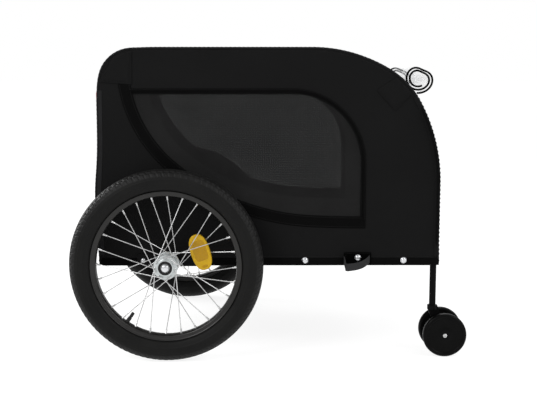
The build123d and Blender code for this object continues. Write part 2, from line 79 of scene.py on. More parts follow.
def stage_floor():
    """A wide white floor that glows for the eye, but still takes most of the trailer's shadow.

    Only the rays that look at it see the glow: those of the camera, of mirrors and of glass.
    """
    reach, glow, white_level, paper_grey = 60.0, 0.68, 1.24, 0.86
    mesh = bpy.data.meshes.new("floor")
    corners = [(-reach, -reach, 0), (reach, -reach, 0), (reach, reach, 0), (-reach, reach, 0)]
    mesh.from_pydata(corners, [], [(0, 1, 2, 3)])
    floor = bpy.data.objects.new("floor", mesh)
    scene.collection.objects.link(floor)
    material = bpy.data.materials.new("floor_paper")
    material.use_nodes = True
    tree = material.node_tree
    tree.nodes.clear()
    ray = tree.nodes.new("ShaderNodeLightPath").outputs
    looks = ray["Is Camera Ray"]
    for kind in ("Is Glossy Ray", "Is Transmission Ray"):
        looks = node(tree, "Math", {0: looks, 1: ray[kind]}, operation="MAXIMUM")
    share = node(tree, "Math", {0: looks, 1: glow}, operation="MULTIPLY")
    paper = node(tree, "BsdfDiffuse", {"Color": (paper_grey, paper_grey, paper_grey, 1)})
    white = node(tree, "Emission", {"Strength": white_level})
    end = tree.nodes.new("ShaderNodeOutputMaterial")
    tree.links.new(node(tree, "MixShader", {0: share, 1: paper, 2: white}), end.inputs["Surface"])
    mesh.materials.append(material)


def sky():
    """An even sky: plain white to look at, and a little dimmer as light on the trailer."""
    dim, white = 0.62, 1.0
    scene.world = bpy.data.worlds.new("sky")
    scene.world.use_nodes = True
    tree = scene.world.node_tree
    background = tree.nodes["Background"]
    background.inputs["Color"].default_value = (1, 1, 1, 1)
    looks = tree.nodes.new("ShaderNodeLightPath").outputs["Is Camera Ray"]
    strength = node(tree, "MapRange", {"Value": looks, "To Min": dim, "To Max": white})
    tree.links.new(strength, background.inputs["Strength"])


def lamp(name, place, size, watts):
    """A square soft lamp that looks at the middle of the trailer."""
    trailer_middle = Vector((0, 0, 0.35))
    light = bpy.data.lights.new(name, "AREA")
    light.shape, light.size, light.energy = "SQUARE", size, watts
    lamp_object = bpy.data.objects.new(name, light)
    lamp_object.location = place
    aim = trailer_middle - Vector(place)
    lamp_object.rotation_euler = aim.to_track_quat("-Z", "Y").to_euler()
    scene.collection.objects.link(lamp_object)


def main_camera():
    """The view from the trailer's right: pitched down 7.8 degrees and turned 0.4 forwards."""
    pitch_down, turned_forwards = 7.82, 0.40
    camera = bpy.data.cameras.new("camera")
    camera.sensor_width, camera.lens = 36.0, 65.0
    camera_object = bpy.data.objects.new("camera", camera)
    camera_object.location = (-0.0171, -2.2518, 0.5952)
    camera_object.rotation_euler = np.radians((90 - pitch_down, 0, -turned_forwards))
    scene.collection.objects.link(camera_object)
    scene.camera = camera_object


stage_floor()
sky()
lamp("lamp_left", (-2.4, -2.0, 2.6), 1.8, 62)
lamp("lamp_right", (2.6, -1.2, 2.2), 1.6, 40)
lamp("lamp_behind", (0.3, 2.6, 2.6), 2.0, 36)
lamp("lamp_edge", (-2.2, 0.9, 1.1), 0.9, 28)
main_camera()

# ------------------------------------------------------------------ tube frame
# Bent steel tube hoops, welded rectangular rails and crossbars, and two round roof bars, all in
# satin black powder coat. Plastic plugs close the open feet of the hoops.
AXLE_X = -0.2136
SIDES = (("right", -1), ("left", 1))


class Finish:
    """One procedural material. Even values are set on the shader's own sockets."""

    def __init__(self, name, colour, roughness, **sockets):
        self.material = bpy.data.materials.new(name)
        self.material.use_nodes = True
        self.tree = self.material.node_tree
        self.shader = self.tree.nodes["Principled BSDF"]
        self.shader.inputs["Base Color"].default_value = (*colour, 1)
        self.shader.inputs["Roughness"].default_value = roughness
        for socket, value in sockets.items():
            self.shader.inputs[socket.replace("_", " ")].default_value = value

    def plug(self, value, socket):
        """Links a node's output to a socket of the shader."""
        self.tree.links.new(value, self.shader.inputs[socket])

    def sums(self, operation, *terms):
        """Arithmetic on one to three terms, each a number or a node's output."""
        return node(self.tree, "Math", enumerate(terms), operation=operation)

    def place(self, kind="Object"):
        """Where a point lies: on the piece in metres, or on its cloth by its UV map."""
        return node(self.tree, "TexCoord", output=kind)

    def cloth_axes(self):
        """The two numbers of a place on the cloth."""
        axes = self.tree.nodes.new("ShaderNodeSeparateXYZ")
        self.tree.links.new(self.place("UV"), axes.inputs[0])
        return axes.outputs[0], axes.outputs[1]

    def wave(self, along, pitch):
        """A sine of a distance, once every pitch."""
        return self.sums("SINE", self.sums("MULTIPLY", along, 2 * np.pi / pitch))

    def noise(self, scale, detail=3.0):
        vector = {"Vector": self.place(), "Scale": scale, "Detail": detail}
        return node(self.tree, "TexNoise", vector)

    def cells(self, pitch, where, **settings):
        """The distance to the nearest point of a square grid of points."""
        grid = {"Vector": where, "Scale": 1 / pitch, "Randomness": 0.0}
        return node(self.tree, "TexVoronoi", grid, **settings)

    def ramp(self, factor, low, high):
        """Stretches a factor so that low becomes 0 and high becomes 1."""
        return node(self.tree, "MapRange", {"Value": factor, "From Min": low, "From Max": high})

    def blend(self, first, share, second):
        """share of the first factor and the rest of the second."""
        return self.sums("MULTIPLY_ADD", first, share, self.sums("MULTIPLY", second, 1 - share))

    def colour(self, factor, dark, light):
        """Base colour that runs from dark to light with a factor."""
        shades = {0: factor, 6: (*dark, 1), 7: (*light, 1)}
        self.plug(node(self.tree, "Mix", shades, 2, data_type="RGBA"), "Base Color")

    def drive(self, socket, factor, low, high):
        """A socket that runs from low to high with a factor."""
        self.plug(self.sums("MULTIPLY_ADD", factor, high - low, low), socket)

    def bump(self, height, distance, strength=1.0):
        """Fine relief from a height of 0 to 1, which is distance deep."""
        relief = {"Height": height, "Distance": distance, "Strength": strength}
        self.plug(node(self.tree, "Bump", relief), "Normal")


def tones(colour, low, high):
    """A darker and a lighter tone of a colour."""
    return [tuple(share * channel for channel in colour) for share in (low, high)]


def mottled(name, colour, roughness, grain=None, mottle=None, shades=None, spread=None, **sockets):
    """A plain material with a fine grain and soft mottling.

    grain is its relief's noise scale, noise detail, depth and strength. mottle is the scale and
    detail of a noise and the range it is read over. The mottling moves the colour between two
    shades, and the roughness over a spread.
    """
    made = Finish(name, colour, roughness, **sockets)
    if mottle:
        patches = made.ramp(made.noise(*mottle[:2]), *mottle[2:])
        made.colour(patches, *shades)
        if spread:
            made.drive("Roughness", patches, *spread)
    if grain:
        made.bump(made.noise(*grain[:2]), *grain[2:])
    return made.material


def powder_coat(name, colour, roughness, gloss=0.15):
    """Satin powder coat: an even film with the faint orange peel that it sets with."""
    return mottled(name, colour, roughness, (900, 2, 0.00012, 0.5), (14, 3, 0.3, 0.7),
                   tones(colour, 0.8, 1.2), (roughness - 0.04, roughness + 0.06),
                   Specular_IOR_Level=gloss)


def repaint(material, *nodes):
    """Gives carried-over CAD pieces their finish."""
    for name in nodes:
        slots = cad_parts[name].data.materials
        slots.clear()
        slots.append(material)


def grid_faces(rows, columns, closed_rows=False, closed_columns=False):
    """Quads between neighbouring points of a grid. A closed side joins its last to its first."""
    row = np.arange(rows if closed_rows else rows - 1)[:, None]
    column = np.arange(columns if closed_columns else columns - 1)[None, :]
    here, there = row * columns, (row + 1) % rows * columns
    after = (column + 1) % columns
    return np.stack([here + column, here + after, there + after, there + column], -1).reshape(-1, 4)


def volume(points, faces):
    """Six times the volume that the faces shut in: the sum of each fan triangle's a . (b x c)."""
    total = 0.0
    for face in faces:
        a, b, c = points[face[..., 0]], points[face[..., 1:-1]], points[face[..., 2:]]
        total += np.sum(np.cross(b, c) * a[..., None, :])
    return total


def capped(grid):
    """A solid from a grid of rings: its points, its faces, and a cap on the first and last ring."""
    rows, columns = grid.shape[:2]
    first = np.arange(columns)
    faces = grid_faces(rows, columns, closed_columns=True)
    return grid.reshape(-1, 3), faces, (first, first + (rows - 1) * columns)


def looped(grid):
    """A solid from a grid that closes on itself both ways, so it needs no caps."""
    return grid.reshape(-1, 3), grid_faces(*grid.shape[:2], True, True), ()


def joined(solids):
    """Puts several solids into one, each turned to face outwards."""
    points, faces, caps, base = [], [], [], 0
    for part_points, part_faces, part_caps, *_ in solids:
        way = -1 if volume(part_points, [part_faces, *(cap[None] for cap in part_caps)]) < 0 else 1
        faces.append(part_faces[:, ::way] + base)
        caps += [cap[::way] + base for cap in part_caps]
        points.append(part_points)
        base += len(part_points)
    places = [np.concatenate([part[3] for part in solids])] if len(solids[0]) > 3 else []
    return np.concatenate(points), np.concatenate(faces), caps, *places


def piece(name, solid, material, body="chassis", facing=None, crease=38):
    """One mesh piece. Its faces are turned to look outwards, or along facing where it is open.

    solid is its points, its faces, any caps, which may have any number of corners, and where it
    is cloth, each point's place on the cloth, which becomes its UV map. body is the body it rides
    on. Cloth across a hinge is given two bodies and where it bends, and is then left on neither.
    """
    points, faces, caps, *places = solid
    groups = [faces, *(cap[None] for cap in caps)]
    if facing is None:
        turned = volume(points, groups) < 0
    else:
        a, b, c = points[faces[0, :3]]
        turned = np.dot(np.cross(b - a, c - b), facing) < 0
    if turned:
        groups = [group[:, ::-1] for group in groups]
    mesh = bpy.data.meshes.new(name)
    mesh.from_pydata(points.tolist(), [], [face for group in groups for face in group.tolist()])
    if places:
        corner_points = np.empty(len(mesh.loops), np.int32)
        mesh.loops.foreach_get("vertex_index", corner_points)
        uv = places[0].reshape(-1, 2)[corner_points].astype(np.float32)
        mesh.uv_layers.new(name="UVMap").data.foreach_set("uv", uv.ravel())
    mesh.polygons.foreach_set("use_smooth", np.ones(len(mesh.polygons), bool))
    mesh.set_sharp_from_angle(angle=np.radians(crease))
    mesh.materials.append(material)
    made = bpy.data.objects.new(name, mesh)
    scene.collection.objects.link(made)
    if isinstance(body, str):
        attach(made, body)
    else:
        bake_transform(made)
    return made


def mm(*rows):
    """A table written in millimetres, as metres."""
    return np.array(rows, float) / 1000


def circle(count):
    """Angles all the way round, without the last, which is the first again."""
    return np.linspace(0, 2 * np.pi, count, endpoint=False)


def unit(vectors):
    """Vectors brought to a length of 1."""
    return vectors / (np.linalg.norm(vectors, axis=-1, keepdims=True) + 1e-12)


def turned(profile, centre, axis, count):
    """A turned shape: centre + along x axis + radius x (cos a, sin a), for angles all round.

    The profile lists (radius, distance along the axis). Returns a grid of points.
    """
    axis = unit(np.array(axis, float))
    start = np.array([0.0, 0, 1]) if abs(axis[2]) < 0.9 else np.array([1.0, 0, 0])
    first = unit(np.cross(start, axis))
    angle = circle(count)[:, None, None]
    ring = np.cos(angle) * first + np.sin(angle) * np.cross(axis, first)
    return np.asarray(centre) + profile[:, :1] * ring + profile[:, 1:] * axis


def turned_solid(profile, centre, axis, count):
    """A solid turned from a profile that stays off the axis, with flat caps on its ends."""
    grid = turned(profile, centre, axis, count)
    columns = grid.shape[1]
    around = np.arange(count) * columns
    return grid.reshape(-1, 3), grid_faces(count, columns, True), (around, around + columns - 1)


frame_paint = powder_coat("frame_paint", (0.0055, 0.0055, 0.0057), 0.46)
repaint(
    frame_paint,
    *("hoop_right", "hoop_left", "side_rail_right", "side_rail_left", "crossbar_rear"),
    *("crossbar_axle", "crossbar_front", "roof_bar_rear", "roof_bar_front", "drawbar_socket"),
)

hoop_low, hoop_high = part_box("hoop_left")
hoop_radius = 0.008
hoop_y = hoop_high[1] - hoop_radius
foot_rear, foot_front = hoop_low[0] + hoop_radius, hoop_high[0] - hoop_radius
plug_plastic = mottled("plug_plastic", (0.008, 0.008, 0.008), 0.5, (600, 3, 0.0001, 0.4),
                       Specular_IOR_Level=0.3)
plug = mm((1.5, -3), (6.6, -3), (7.8, -2.2), (7.8, 0), (6.4, 0.3), (6.2, 14), (1.5, 14))
feet = (foot_rear, -hoop_y), (foot_rear, hoop_y), (foot_front, hoop_y)
plugs = [turned_solid(plug, (x, y, hoop_low[2] - 0.0002), (0, 0, 1), 24) for x, y in feet]
piece("tube_plugs", joined(plugs), plug_plastic, "chassis")

# ------------------------------------------------------------------ cabin cloth
# The cabin is sewn from coated black polyester: two flat sides, and a wrap that runs up the back,
# over the roof and down the front. It is pulled tight over the hoops, so it lies smooth, sags a
# little between the roof bars, and puckers only along its sewn edges.
HALF_WIDTH = 0.248
WRAP_HALF_WIDTH = 0.2453
CLOTH = 0.0011
PUCKER_PITCH = 0.009
cabin_low, cabin_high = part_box("side_panel_right")[0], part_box("side_panel_left")[1]
rear_x, front_x, bottom_z, top_z = cabin_low[0], cabin_high[0], cabin_low[2] - 0.002, cabin_high[2]


def arc(centre, radius, start, end, count):
    """Centre + radius x (sin a, cos a), where the angle a is measured forwards from straight up."""
    angle = np.radians(np.linspace(start, end, count))
    return np.asarray(centre) + radius * np.stack([np.sin(angle), np.cos(angle)], 1)


def bend_centre(end, radius, angle):
    """The centre of an arc that has turned to an angle at a known end."""
    return 2 * np.asarray(end) - arc(end, radius, angle, angle, 1)[0]


def bell(value, middle, width):
    """1 at the middle, and falling off on both sides as exp(-(distance / width) squared)."""
    return np.exp(-(((value - middle) / width) ** 2))


def fade(value, start, length):
    """0 up to a start, 1 from a length beyond it, and straight between them."""
    return np.clip((value - start) / length, 0, 1)


def travelled(line):
    """The distance along a line at each of its points."""
    return np.r_[0, np.cumsum(np.linalg.norm(np.diff(line, axis=0), axis=1))]


def read_at(s, at, rows):
    """Rows of numbers that are known at some distances, read at other ones."""
    return np.stack([np.interp(s, at, column) for column in rows.T], -1)


def tightness(s):
    """How far the cloth is drawn in towards the hoops: bells of 1.5 and 1.1 mm at the ends of
    the rear corner, 0.5 mm along the roof, and 1.3 mm down the front, which fades out at the hem.
    """
    to_end = s[-1] - s
    corner_ends = 0.0015 * bell(s, 0.388, 0.024) + 0.0011 * bell(s, 0.496, 0.024)
    roof = fade(s, 0.45, 0.05) * fade(to_end, 0.45, 0.05)
    front = (1 - fade(to_end, 0.39, 0.04)) * fade(to_end, 0, 0.05)
    return corner_ends + 0.0005 * roof + 0.0013 * front


def cabin_outline():
    """The wrap seen from the side: up the back, a quarter round, the roof, three arcs that turn to
    36, 60 and 90 degrees, and down the front. Returns its points, outward normals and distances.
    """
    corner, brow, bend, chin = 0.080, 0.306, 0.150, 0.357
    to_brow, to_bend = 36, 60
    cosines = np.cos(np.radians((0, to_brow, to_bend)))
    chin_z = top_z - brow * (cosines[0] - cosines[1]) - bend * (cosines[1] - cosines[2])
    chin_centre = np.array([front_x - chin, chin_z - chin * cosines[2]])
    bend_middle = bend_centre(arc(chin_centre, chin, to_bend, to_bend, 1)[0], bend, to_bend)
    brow_middle = bend_centre(arc(bend_middle, bend, to_brow, to_brow, 1)[0], brow, to_brow)
    corner_middle = (rear_x + corner, top_z - corner)
    parts = [
        (np.linspace((rear_x, bottom_z), (rear_x, corner_middle[1]), 60), (-90, -90)),
        (arc(corner_middle, corner, -90, 0, 40), (-90, 0)),
        (np.linspace((corner_middle[0], top_z), (brow_middle[0], top_z), 80), (0, 0)),
        (arc(brow_middle, brow, 0, to_brow, 60), (0, to_brow)),
        (arc(bend_middle, bend, to_brow, to_bend, 30), (to_brow, to_bend)),
        (arc(chin_centre, chin, to_bend, 90, 60), (to_bend, 90)),
        (np.linspace((front_x, chin_centre[1]), (front_x, bottom_z), 40), (90, 90)),
    ]
    points = np.concatenate([part for part, turn in parts])
    angle = np.radians(np.concatenate([np.linspace(*turn, len(part)) for part, turn in parts]))
    keep = np.r_[True, np.linalg.norm(np.diff(points, axis=0), axis=1) > 1e-7]
    points, angle = points[keep], angle[keep]
    distance = travelled(points)
    normal = np.stack([np.sin(angle), np.cos(angle)], 1)
    return points - normal * tightness(distance)[:, None], normal, distance


outline, outline_normal, outline_at = cabin_outline()
s_end = outline_at[-1]


def at_height(z, half):
    """Distance along the outline where one half of it passes a height z."""
    order = np.argsort(outline[half, 1])
    return float(np.interp(z, outline[half, 1][order], outline_at[half][order]))


REAR_HALF, FRONT_HALF = slice(0, len(outline) // 2), slice(len(outline) // 2, None)


def belly(x, z):
    """How far the cloth leans rearwards near the back edge: 1 mm below the corner, and a bell of
    8 mm about a height of 338, wider below it than above. It fades out 80 mm in from the edge.
    """
    widest = 0.338
    swell = 0.0076 * bell(z, widest, np.where(z < widest, 0.120, 0.068))
    return (swell + 0.0010 * (1 - fade(z, 0.535, 0.04))) * (1 - fade(x, rear_x, 0.08)) ** 2


def side_relief(x, z):
    """The side's lie: rolled in over the edge, slack ripples of a millimetre, and puckers every
    9 mm along the sewn edges that fade 14 mm in.

    The distance in from the edge is that to the nearest of the outline's tangent lines.
    """
    walls, normals = outline[::4], outline_normal[::4]
    inside = np.sum((walls - np.stack([x, z], -1)[..., None, :]) * normals, -1).min(-1)
    gap = np.minimum(inside, z - bottom_z + 0.012)
    rolled = -0.0030 * (1 - fade(gap, 0, 0.012)) ** 2
    slack = 0.0007 * np.sin(38 * x + 9 * z) * np.sin(23 * z - 11 * x + 1.0)
    slack = slack + 0.0010 * bell(z, 0.235, 0.025) * np.sin(17 * x + 0.6)
    along = np.arctan2(z - 0.40, x) * 0.30 + x + z
    pucker = 0.00035 * np.sin(along * 2 * np.pi / PUCKER_PITCH) * (1 - fade(gap, 0, 0.014))
    return rolled + slack * fade(gap, 0, 0.02) + pucker


def on_side(sign, raised=0.0, way=1):
    """Returns a function that puts (x, z, lift) on a side of the cabin, lift outwards of the cloth.

    What is put is raised by a distance, and way is -1 where it lies on the inner face.
    """

    def put(x, z, lift):
        x, z, lift = np.broadcast_arrays(x, z, lift)
        y = sign * (HALF_WIDTH + raised + way * lift + side_relief(x, z))
        return np.stack([x - belly(x, z), y, z], -1)

    return put


bar_places = []
for name in ("roof_bar_rear", "roof_bar_front"):
    low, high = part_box(name)
    to_bar = np.linalg.norm(outline - np.array((low + high) / 2)[::2], axis=1)
    bar_places.append(outline_at[to_bar.argmin()])


def wrap_relief(s, y):
    """The wrap's lie: a 7 mm sag between the hoops on the roof, held up where it crosses a roof
    bar, and rolled over at both edges, with faint cross ripples and edge puckers.
    """
    x, z = np.moveaxis(read_at(s, outline_at, outline), -1, 0)
    across = 1 - (y / WRAP_HALF_WIDTH) ** 2
    roof = fade(z, 0.55, 0.07) * fade(x, rear_x, 0.06)
    held = sum(bell(s, place, 0.035) for place in bar_places)
    sag = 0.007 * roof * across**0.8 * (1 - 0.9 * held)
    edge = fade(np.abs(y), WRAP_HALF_WIDTH - 0.012, 0.012)
    ripple = 0.0006 * np.sin(26 * s + 1.7) * np.sin(15 * y + 0.4) * across
    pucker = 0.0003 * np.sin(s * 2 * np.pi / PUCKER_PITCH) * edge
    return ripple + pucker - sag - 0.0022 * edge**2


def on_wrap(y, s, lift):
    """A point of the wrap: the outline at distance s, moved out along its normal, at a place y."""
    y, s, lift = np.broadcast_arrays(y, s, lift)
    out = lift + wrap_relief(s, np.clip(y, -WRAP_HALF_WIDTH, WRAP_HALF_WIDTH))
    x, z, ahead, up = np.moveaxis(read_at(s, outline_at, np.c_[outline, outline_normal]), -1, 0)
    x = x + ahead * out
    return np.stack([x - belly(x, z), y, z + up * out], -1)


def skin(points, places, closed=False, hub=False):
    """A sheet on a grid of cloth places, closed into a ring or not, with a cap in it if it has a
    hub.
    """
    rows, columns = points.shape[:2]
    faces = grid_faces(rows, columns, closed_columns=closed)
    caps = (np.arange(columns),) if hub else ()
    return points.reshape(-1, 3), faces, caps, places.reshape(-1, 2)


def laid(put, places, lift):
    """Puts an array of cloth places on a surface."""
    return put(places[..., 0], places[..., 1], lift)


def cross_of(first, second):
    """The cross product of flat vectors."""
    return first[:, 0] * second[:, 1] - first[:, 1] * second[:, 0]


def turns(points, centre):
    """The angles at which some points stand round a centre."""
    arm = np.asarray(points) - centre
    return np.arctan2(arm[:, 1], arm[:, 0])


def loop_at(loop, centre, angle):
    """Where rays from a centre at some angles meet a closed loop around it."""
    turn = turns(loop, centre)
    order = np.argsort(turn)
    turn, arm = turn[order], (loop - centre)[order]
    turn = np.r_[turn[-1] - 2 * np.pi, turn, turn[0] + 2 * np.pi]
    arm = np.concatenate([arm[-1:], arm, arm[:1]])
    after = np.clip(np.searchsorted(turn, angle), 1, len(turn) - 1)
    a, b = arm[after - 1], arm[after]
    ray = np.stack([np.cos(angle), np.sin(angle)], 1)
    return centre + ray * (cross_of(a, b) / (cross_of(ray, b - a) + 1e-15))[:, None]


def ray_angles(count, corners, centre):
    """Even angles all round, and one more for each sharp corner, so that it stays sharp."""
    even = np.linspace(-np.pi, np.pi, count, endpoint=False)
    return np.unique(np.r_[even, turns(corners, centre)]) if len(corners) else even


def ring(inner, outer, centre, rows, count, corners=()):
    """Grid between two loops around a centre: straight from one to the other along each ray."""
    angle = ray_angles(count, corners, centre)
    inside, outside = loop_at(inner, centre, angle), loop_at(outer, centre, angle)
    share = np.linspace(0, 1, rows)
    share = (0.35 * share + 0.65 * share**2 * (3 - 2 * share))[:, None, None]
    return inside * (1 - share) + outside * share


def filled(loop, centre, rows, count=200, corners=(), power=0.8):
    """Grid that fills a loop: rays from near its centre out to its edge."""
    rim = loop_at(loop, centre, ray_angles(count, corners, centre))
    return centre + (rim - centre) * (np.linspace(0.02, 1, rows) ** power)[:, None, None]


def weave(name, colour, roughness, gloss, pitch=0.0009, depth=0.00012, painted_glow=0.0):
    """Plain weave on the cloth's own UV: warp and weft sines in turn, with slubs and soft mottle.

    Its last argument sets a faint white glow on the cloth: painted light that stands in for the
    daylight that soaks through thin cloth to its inner face.
    """
    made = Finish(name, colour, roughness, Specular_IOR_Level=gloss, Emission_Strength=painted_glow)
    made.shader.inputs["Emission Color"].default_value = (1, 1, 1, 1)
    warp, weft = (made.wave(axis, pitch) for axis in made.cloth_axes())
    threads = made.sums("MULTIPLY_ADD", made.sums("MULTIPLY", warp, weft), 0.5, 0.5)
    mottle = made.ramp(made.noise(9.0, 4.0), 0.3, 0.7)
    made.colour(made.blend(threads, 0.35, mottle), *tones(colour, 0.82, 1.18))
    made.drive("Roughness", mottle, roughness - 0.05, roughness + 0.05)
    made.bump(made.sums("MULTIPLY_ADD", made.noise(260.0, 2.0), 0.35, threads), depth, 0.7)
    return made.material


cabin_cloth = weave("cabin_cloth", (0.0071, 0.0071, 0.0072), 0.78, 0.06)
# The lining on the side panels' inner faces is lighter than the cloth and glows faintly white: both
# are painted light for the daylight that comes through the cloth.
painted_glow_lining = weave("cloth_lining_painted_glow", (0.0090, 0.0090, 0.0091), 0.6, 0.10, painted_glow=0.016)


def cloth(name, put, places, facing, body="chassis", closed=False, hub=False):
    """A sheet of cabin cloth on a grid of cloth places, given its thickness inwards."""
    sheet = skin(laid(put, places, 0.0), places, closed, hub)
    made = piece(name, sheet, cabin_cloth, body, facing=facing)
    wall = made.modifiers.new("thickness", "SOLIDIFY")
    wall.thickness, wall.offset = CLOTH, -1
    return made


# Side windows, cut into each side: a long sill that tightens into a sweep up to the rear, a level
# top, and a round upper front corner.
WINDOW_FRONT = AXLE_X + 0.403
WINDOW_TOP = 0.551
WINDOW_BOTTOM = 0.2956
SEAM = 0.004


def window_sweep(margin, top=None):
    """The window's lower and rear edge: three arcs that turn to 3, 40.6 and about 80 degrees as
    they rise to a height, each moved out by margin.
    """
    top, count = WINDOW_TOP + margin if top is None else top, 70
    sill_radius, belly_radius, haunch_radius = 1.980, 0.475 + margin, 0.260 + margin
    sill_centre = (WINDOW_FRONT, WINDOW_BOTTOM + sill_radius)
    sill = arc(sill_centre, sill_radius + margin, 180, 183, 12)
    belly_line = arc(bend_centre(sill[-1], belly_radius, 183), belly_radius, 183, 220.6, count)
    haunch_centre = bend_centre(belly_line[-1], haunch_radius, 220.6)
    end = 180 + np.degrees(np.arccos((haunch_centre[1] - top) / haunch_radius))
    haunch = arc(haunch_centre, haunch_radius, 220.6, end, count)
    return np.concatenate([sill, belly_line[1:], haunch[1:]])


def window_cap(margin):
    """The window's top and front edge, from its rear tip to the foot of its front edge."""
    corner, count = 0.144, 60
    middle = (WINDOW_FRONT - corner, WINDOW_TOP - corner)
    top = np.linspace(window_sweep(margin)[-1], (middle[0], WINDOW_TOP + margin), count)
    front_foot = (WINDOW_FRONT + margin, WINDOW_BOTTOM - margin)
    down = np.linspace((WINDOW_FRONT + margin, middle[1]), front_foot, count // 2)
    return np.concatenate([top, arc(middle, corner + margin, 0, 90, count)[1:], down[1:]])


def window_loop(margin):
    """The whole window outline, moved out by margin."""
    return np.concatenate([window_cap(margin), window_sweep(margin)[:-1]])


window_middle = np.array([AXLE_X + 0.21, 0.44])
window_corners = [(WINDOW_FRONT + SEAM, WINDOW_BOTTOM - SEAM), window_sweep(SEAM)[-1]]
side_flat = ring(window_loop(SEAM), outline, window_middle, 34, 420,
                 [outline[0], outline[-1], *window_corners])
for side, sign in SIDES:
    panel = cloth(f"cabin_side_{side}", on_side(sign), side_flat, (0, sign, 0), closed=True)
    # The inner faces take the lining, whose painted glow stands in for daylight through the cloth.
    panel.data.materials.append(painted_glow_lining)
    panel.modifiers["thickness"].material_offset = 1
    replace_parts(panel, f"side_panel_{side}")


# Window mesh: black polyester net, knitted with small round holes, that shows the sky through both
# sides of the cabin. It is sewn behind the edge of each opening.
def knitted(name, colour, pitch, hole):
    """Knitted net: round holes in rows, clear where the distance to a hole's middle is small."""
    made = Finish(name, colour, 0.8, Specular_IOR_Level=0.05)
    away = made.cells(pitch, made.place("UV"), voronoi_dimensions="2D")
    made.plug(made.ramp(away, hole - 0.04, hole + 0.04), "Alpha")
    made.bump(made.ramp(away, hole, 0.6), 0.0003, 0.6)
    made.colour(made.ramp(made.noise(12.0), 0.3, 0.7), *tones(colour, 0.88, 1.1))
    return made.material


window_net = knitted("window_net", (0.0138, 0.0138, 0.0138), 0.0009, 0.178)
NET_BACK, NET_BELLY, NET_TURNING = -0.0008, 0.003, 0.0001
net_flat = filled(window_loop(SEAM - 0.0004), window_middle, 22, 300, window_corners, 1)
net_x, net_z = net_flat[..., 0], net_flat[..., 1]
slack = 1 - np.linspace(0.02, 1, 22)[:, None] ** 2
net_lie = NET_BACK + slack * (0.0006 * np.sin(24 * net_x + 31 * net_z) - NET_BELLY)
for side, sign in SIDES:
    points = np.stack([net_x, sign * (HALF_WIDTH + net_lie), net_z], -1)
    sheet = skin(points, net_flat, closed=True, hub=True)
    net = piece(f"window_net_{side}", sheet, window_net, "chassis", (0, sign, 0))
    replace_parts(net, f"window_mesh_{side}")


# Black polyester tape, 25 mm wide along the sill and up the rear sweep, and 10 mm wide with a
# raised middle along the top and the front edge. It covers the seam between cloth and net.
def strip(edge_a, edge_b, thickness, put, ridge=0.0):
    """A flat tape between two lines that run side by side, with rounded edges.

    Its section rises from the cloth to its thickness over the first and last tenth, and by ridge
    more in the middle. Its edges sink 0.6 mm into the cloth.
    """
    share = np.array([0, 0, 0.05, 0.14, 0.32, 0.5, 0.68, 0.86, 0.95, 1, 1])
    rise = np.array([0.5, 0.9, 1, 1, 1, 1, 1, 0.9, 0.5]) * thickness
    rise = np.r_[-0.0006, rise + ridge * bell(share[1:-1], 0.5, 0.16), -0.0006]
    a, b = np.asarray(edge_a)[:, None], np.asarray(edge_b)[:, None]
    flat = a + (b - a) * share[:, None]
    width = np.linalg.norm(b - a, axis=-1)
    along = travelled(flat[:, 5])[:, None]
    places = np.stack(np.broadcast_arrays(along, width * share), -1)
    return *capped(laid(put, flat, rise)), places.reshape(-1, 2)


def resampled(line, step=None, count=None):
    """A line's points again, evenly spaced: at about a step, or as many as asked."""
    at = travelled(line)
    count = count or max(2, int(round(at[-1] / step)) + 1)
    return read_at(np.linspace(0, at[-1], count), at, np.asarray(line, float))


def ribbed(name, colour, ribs_of, gloss, low, depth, mottled_share=0.0):
    """Woven tape with ribs across it, read from its own UV: a sine of a place on the tape."""
    made = Finish(name, colour, 0.75, Specular_IOR_Level=gloss)
    ribs = made.sums("MULTIPLY_ADD", ribs_of(made), 0.5, 0.5)
    tone = ribs
    if mottled_share:
        mottle = made.ramp(made.noise(30.0, 4.0), 0.3, 0.7)
        tone = made.blend(ribs, 1 - mottled_share, mottle)
    made.colour(tone, *tones(colour, low, 2 - low))
    made.bump(ribs, depth, 0.8)
    return made.material


def grosgrain(name, colour, rib=0.0016):
    """Binding tape: fine ribs straight across its length, and soft mottling."""
    straight = lambda made: made.wave(made.cloth_axes()[0], rib)
    return ribbed(name, colour, straight, 0.055, 0.75, 0.00018, 0.6)


def lugs(places, put, lift, shape):
    """Copies of one small lug, at places on the cloth.

    shape holds the lug's rings of points. Each stands at middle + ahead x first + out x second
    + across x third, where ahead runs along the row of lugs.
    """
    middle = laid(put, places, lift)
    ahead = unit(np.gradient(middle, axis=0))
    out = unit(laid(put, places, lift + 0.001) - middle)
    axes = np.stack([ahead, out, np.cross(ahead, out)], 1)
    points = middle[:, None, None] + np.einsum("rsk,nkd->nrsd", shape, axes)
    rings, sides = shape.shape[:2]
    cap = np.array([[0, k, k + 1, k + 2] for k in range(1, sides - 1, 2)])
    far_cap = cap[:, ::-1] + (rings - 1) * sides
    faces = np.concatenate([grid_faces(rings, sides, closed_columns=True), cap, far_cap])
    base = np.arange(len(points))[:, None, None] * rings * sides
    return points.reshape(-1, 3), (faces + base).reshape(-1, 4), ()


def stitches(line, put, lift=0.0002):
    """A row of thread stitches on a line of cloth places: one small rounded pill each, square in
    section, widest at its middle and sunk into the cloth at its ends.
    """
    pitch, length, thickness = 0.0042, 0.0030, 0.00038
    station = np.array([-0.5, -0.22, 0.22, 0.5])[:, None] * length
    girth = np.array([0.35, 1, 1, 0.35])[:, None] * thickness
    sink = mm(-0.3, 0.12, 0.12, -0.3)[:, None]
    out, across = np.array([1, 0, -1, 0]), np.array([0, 1, 0, -1])
    pill = np.stack([station + 0 * out, sink + out * girth, across * girth], -1)
    return lugs(resampled(line, pitch)[1:-1], put, lift, pill)


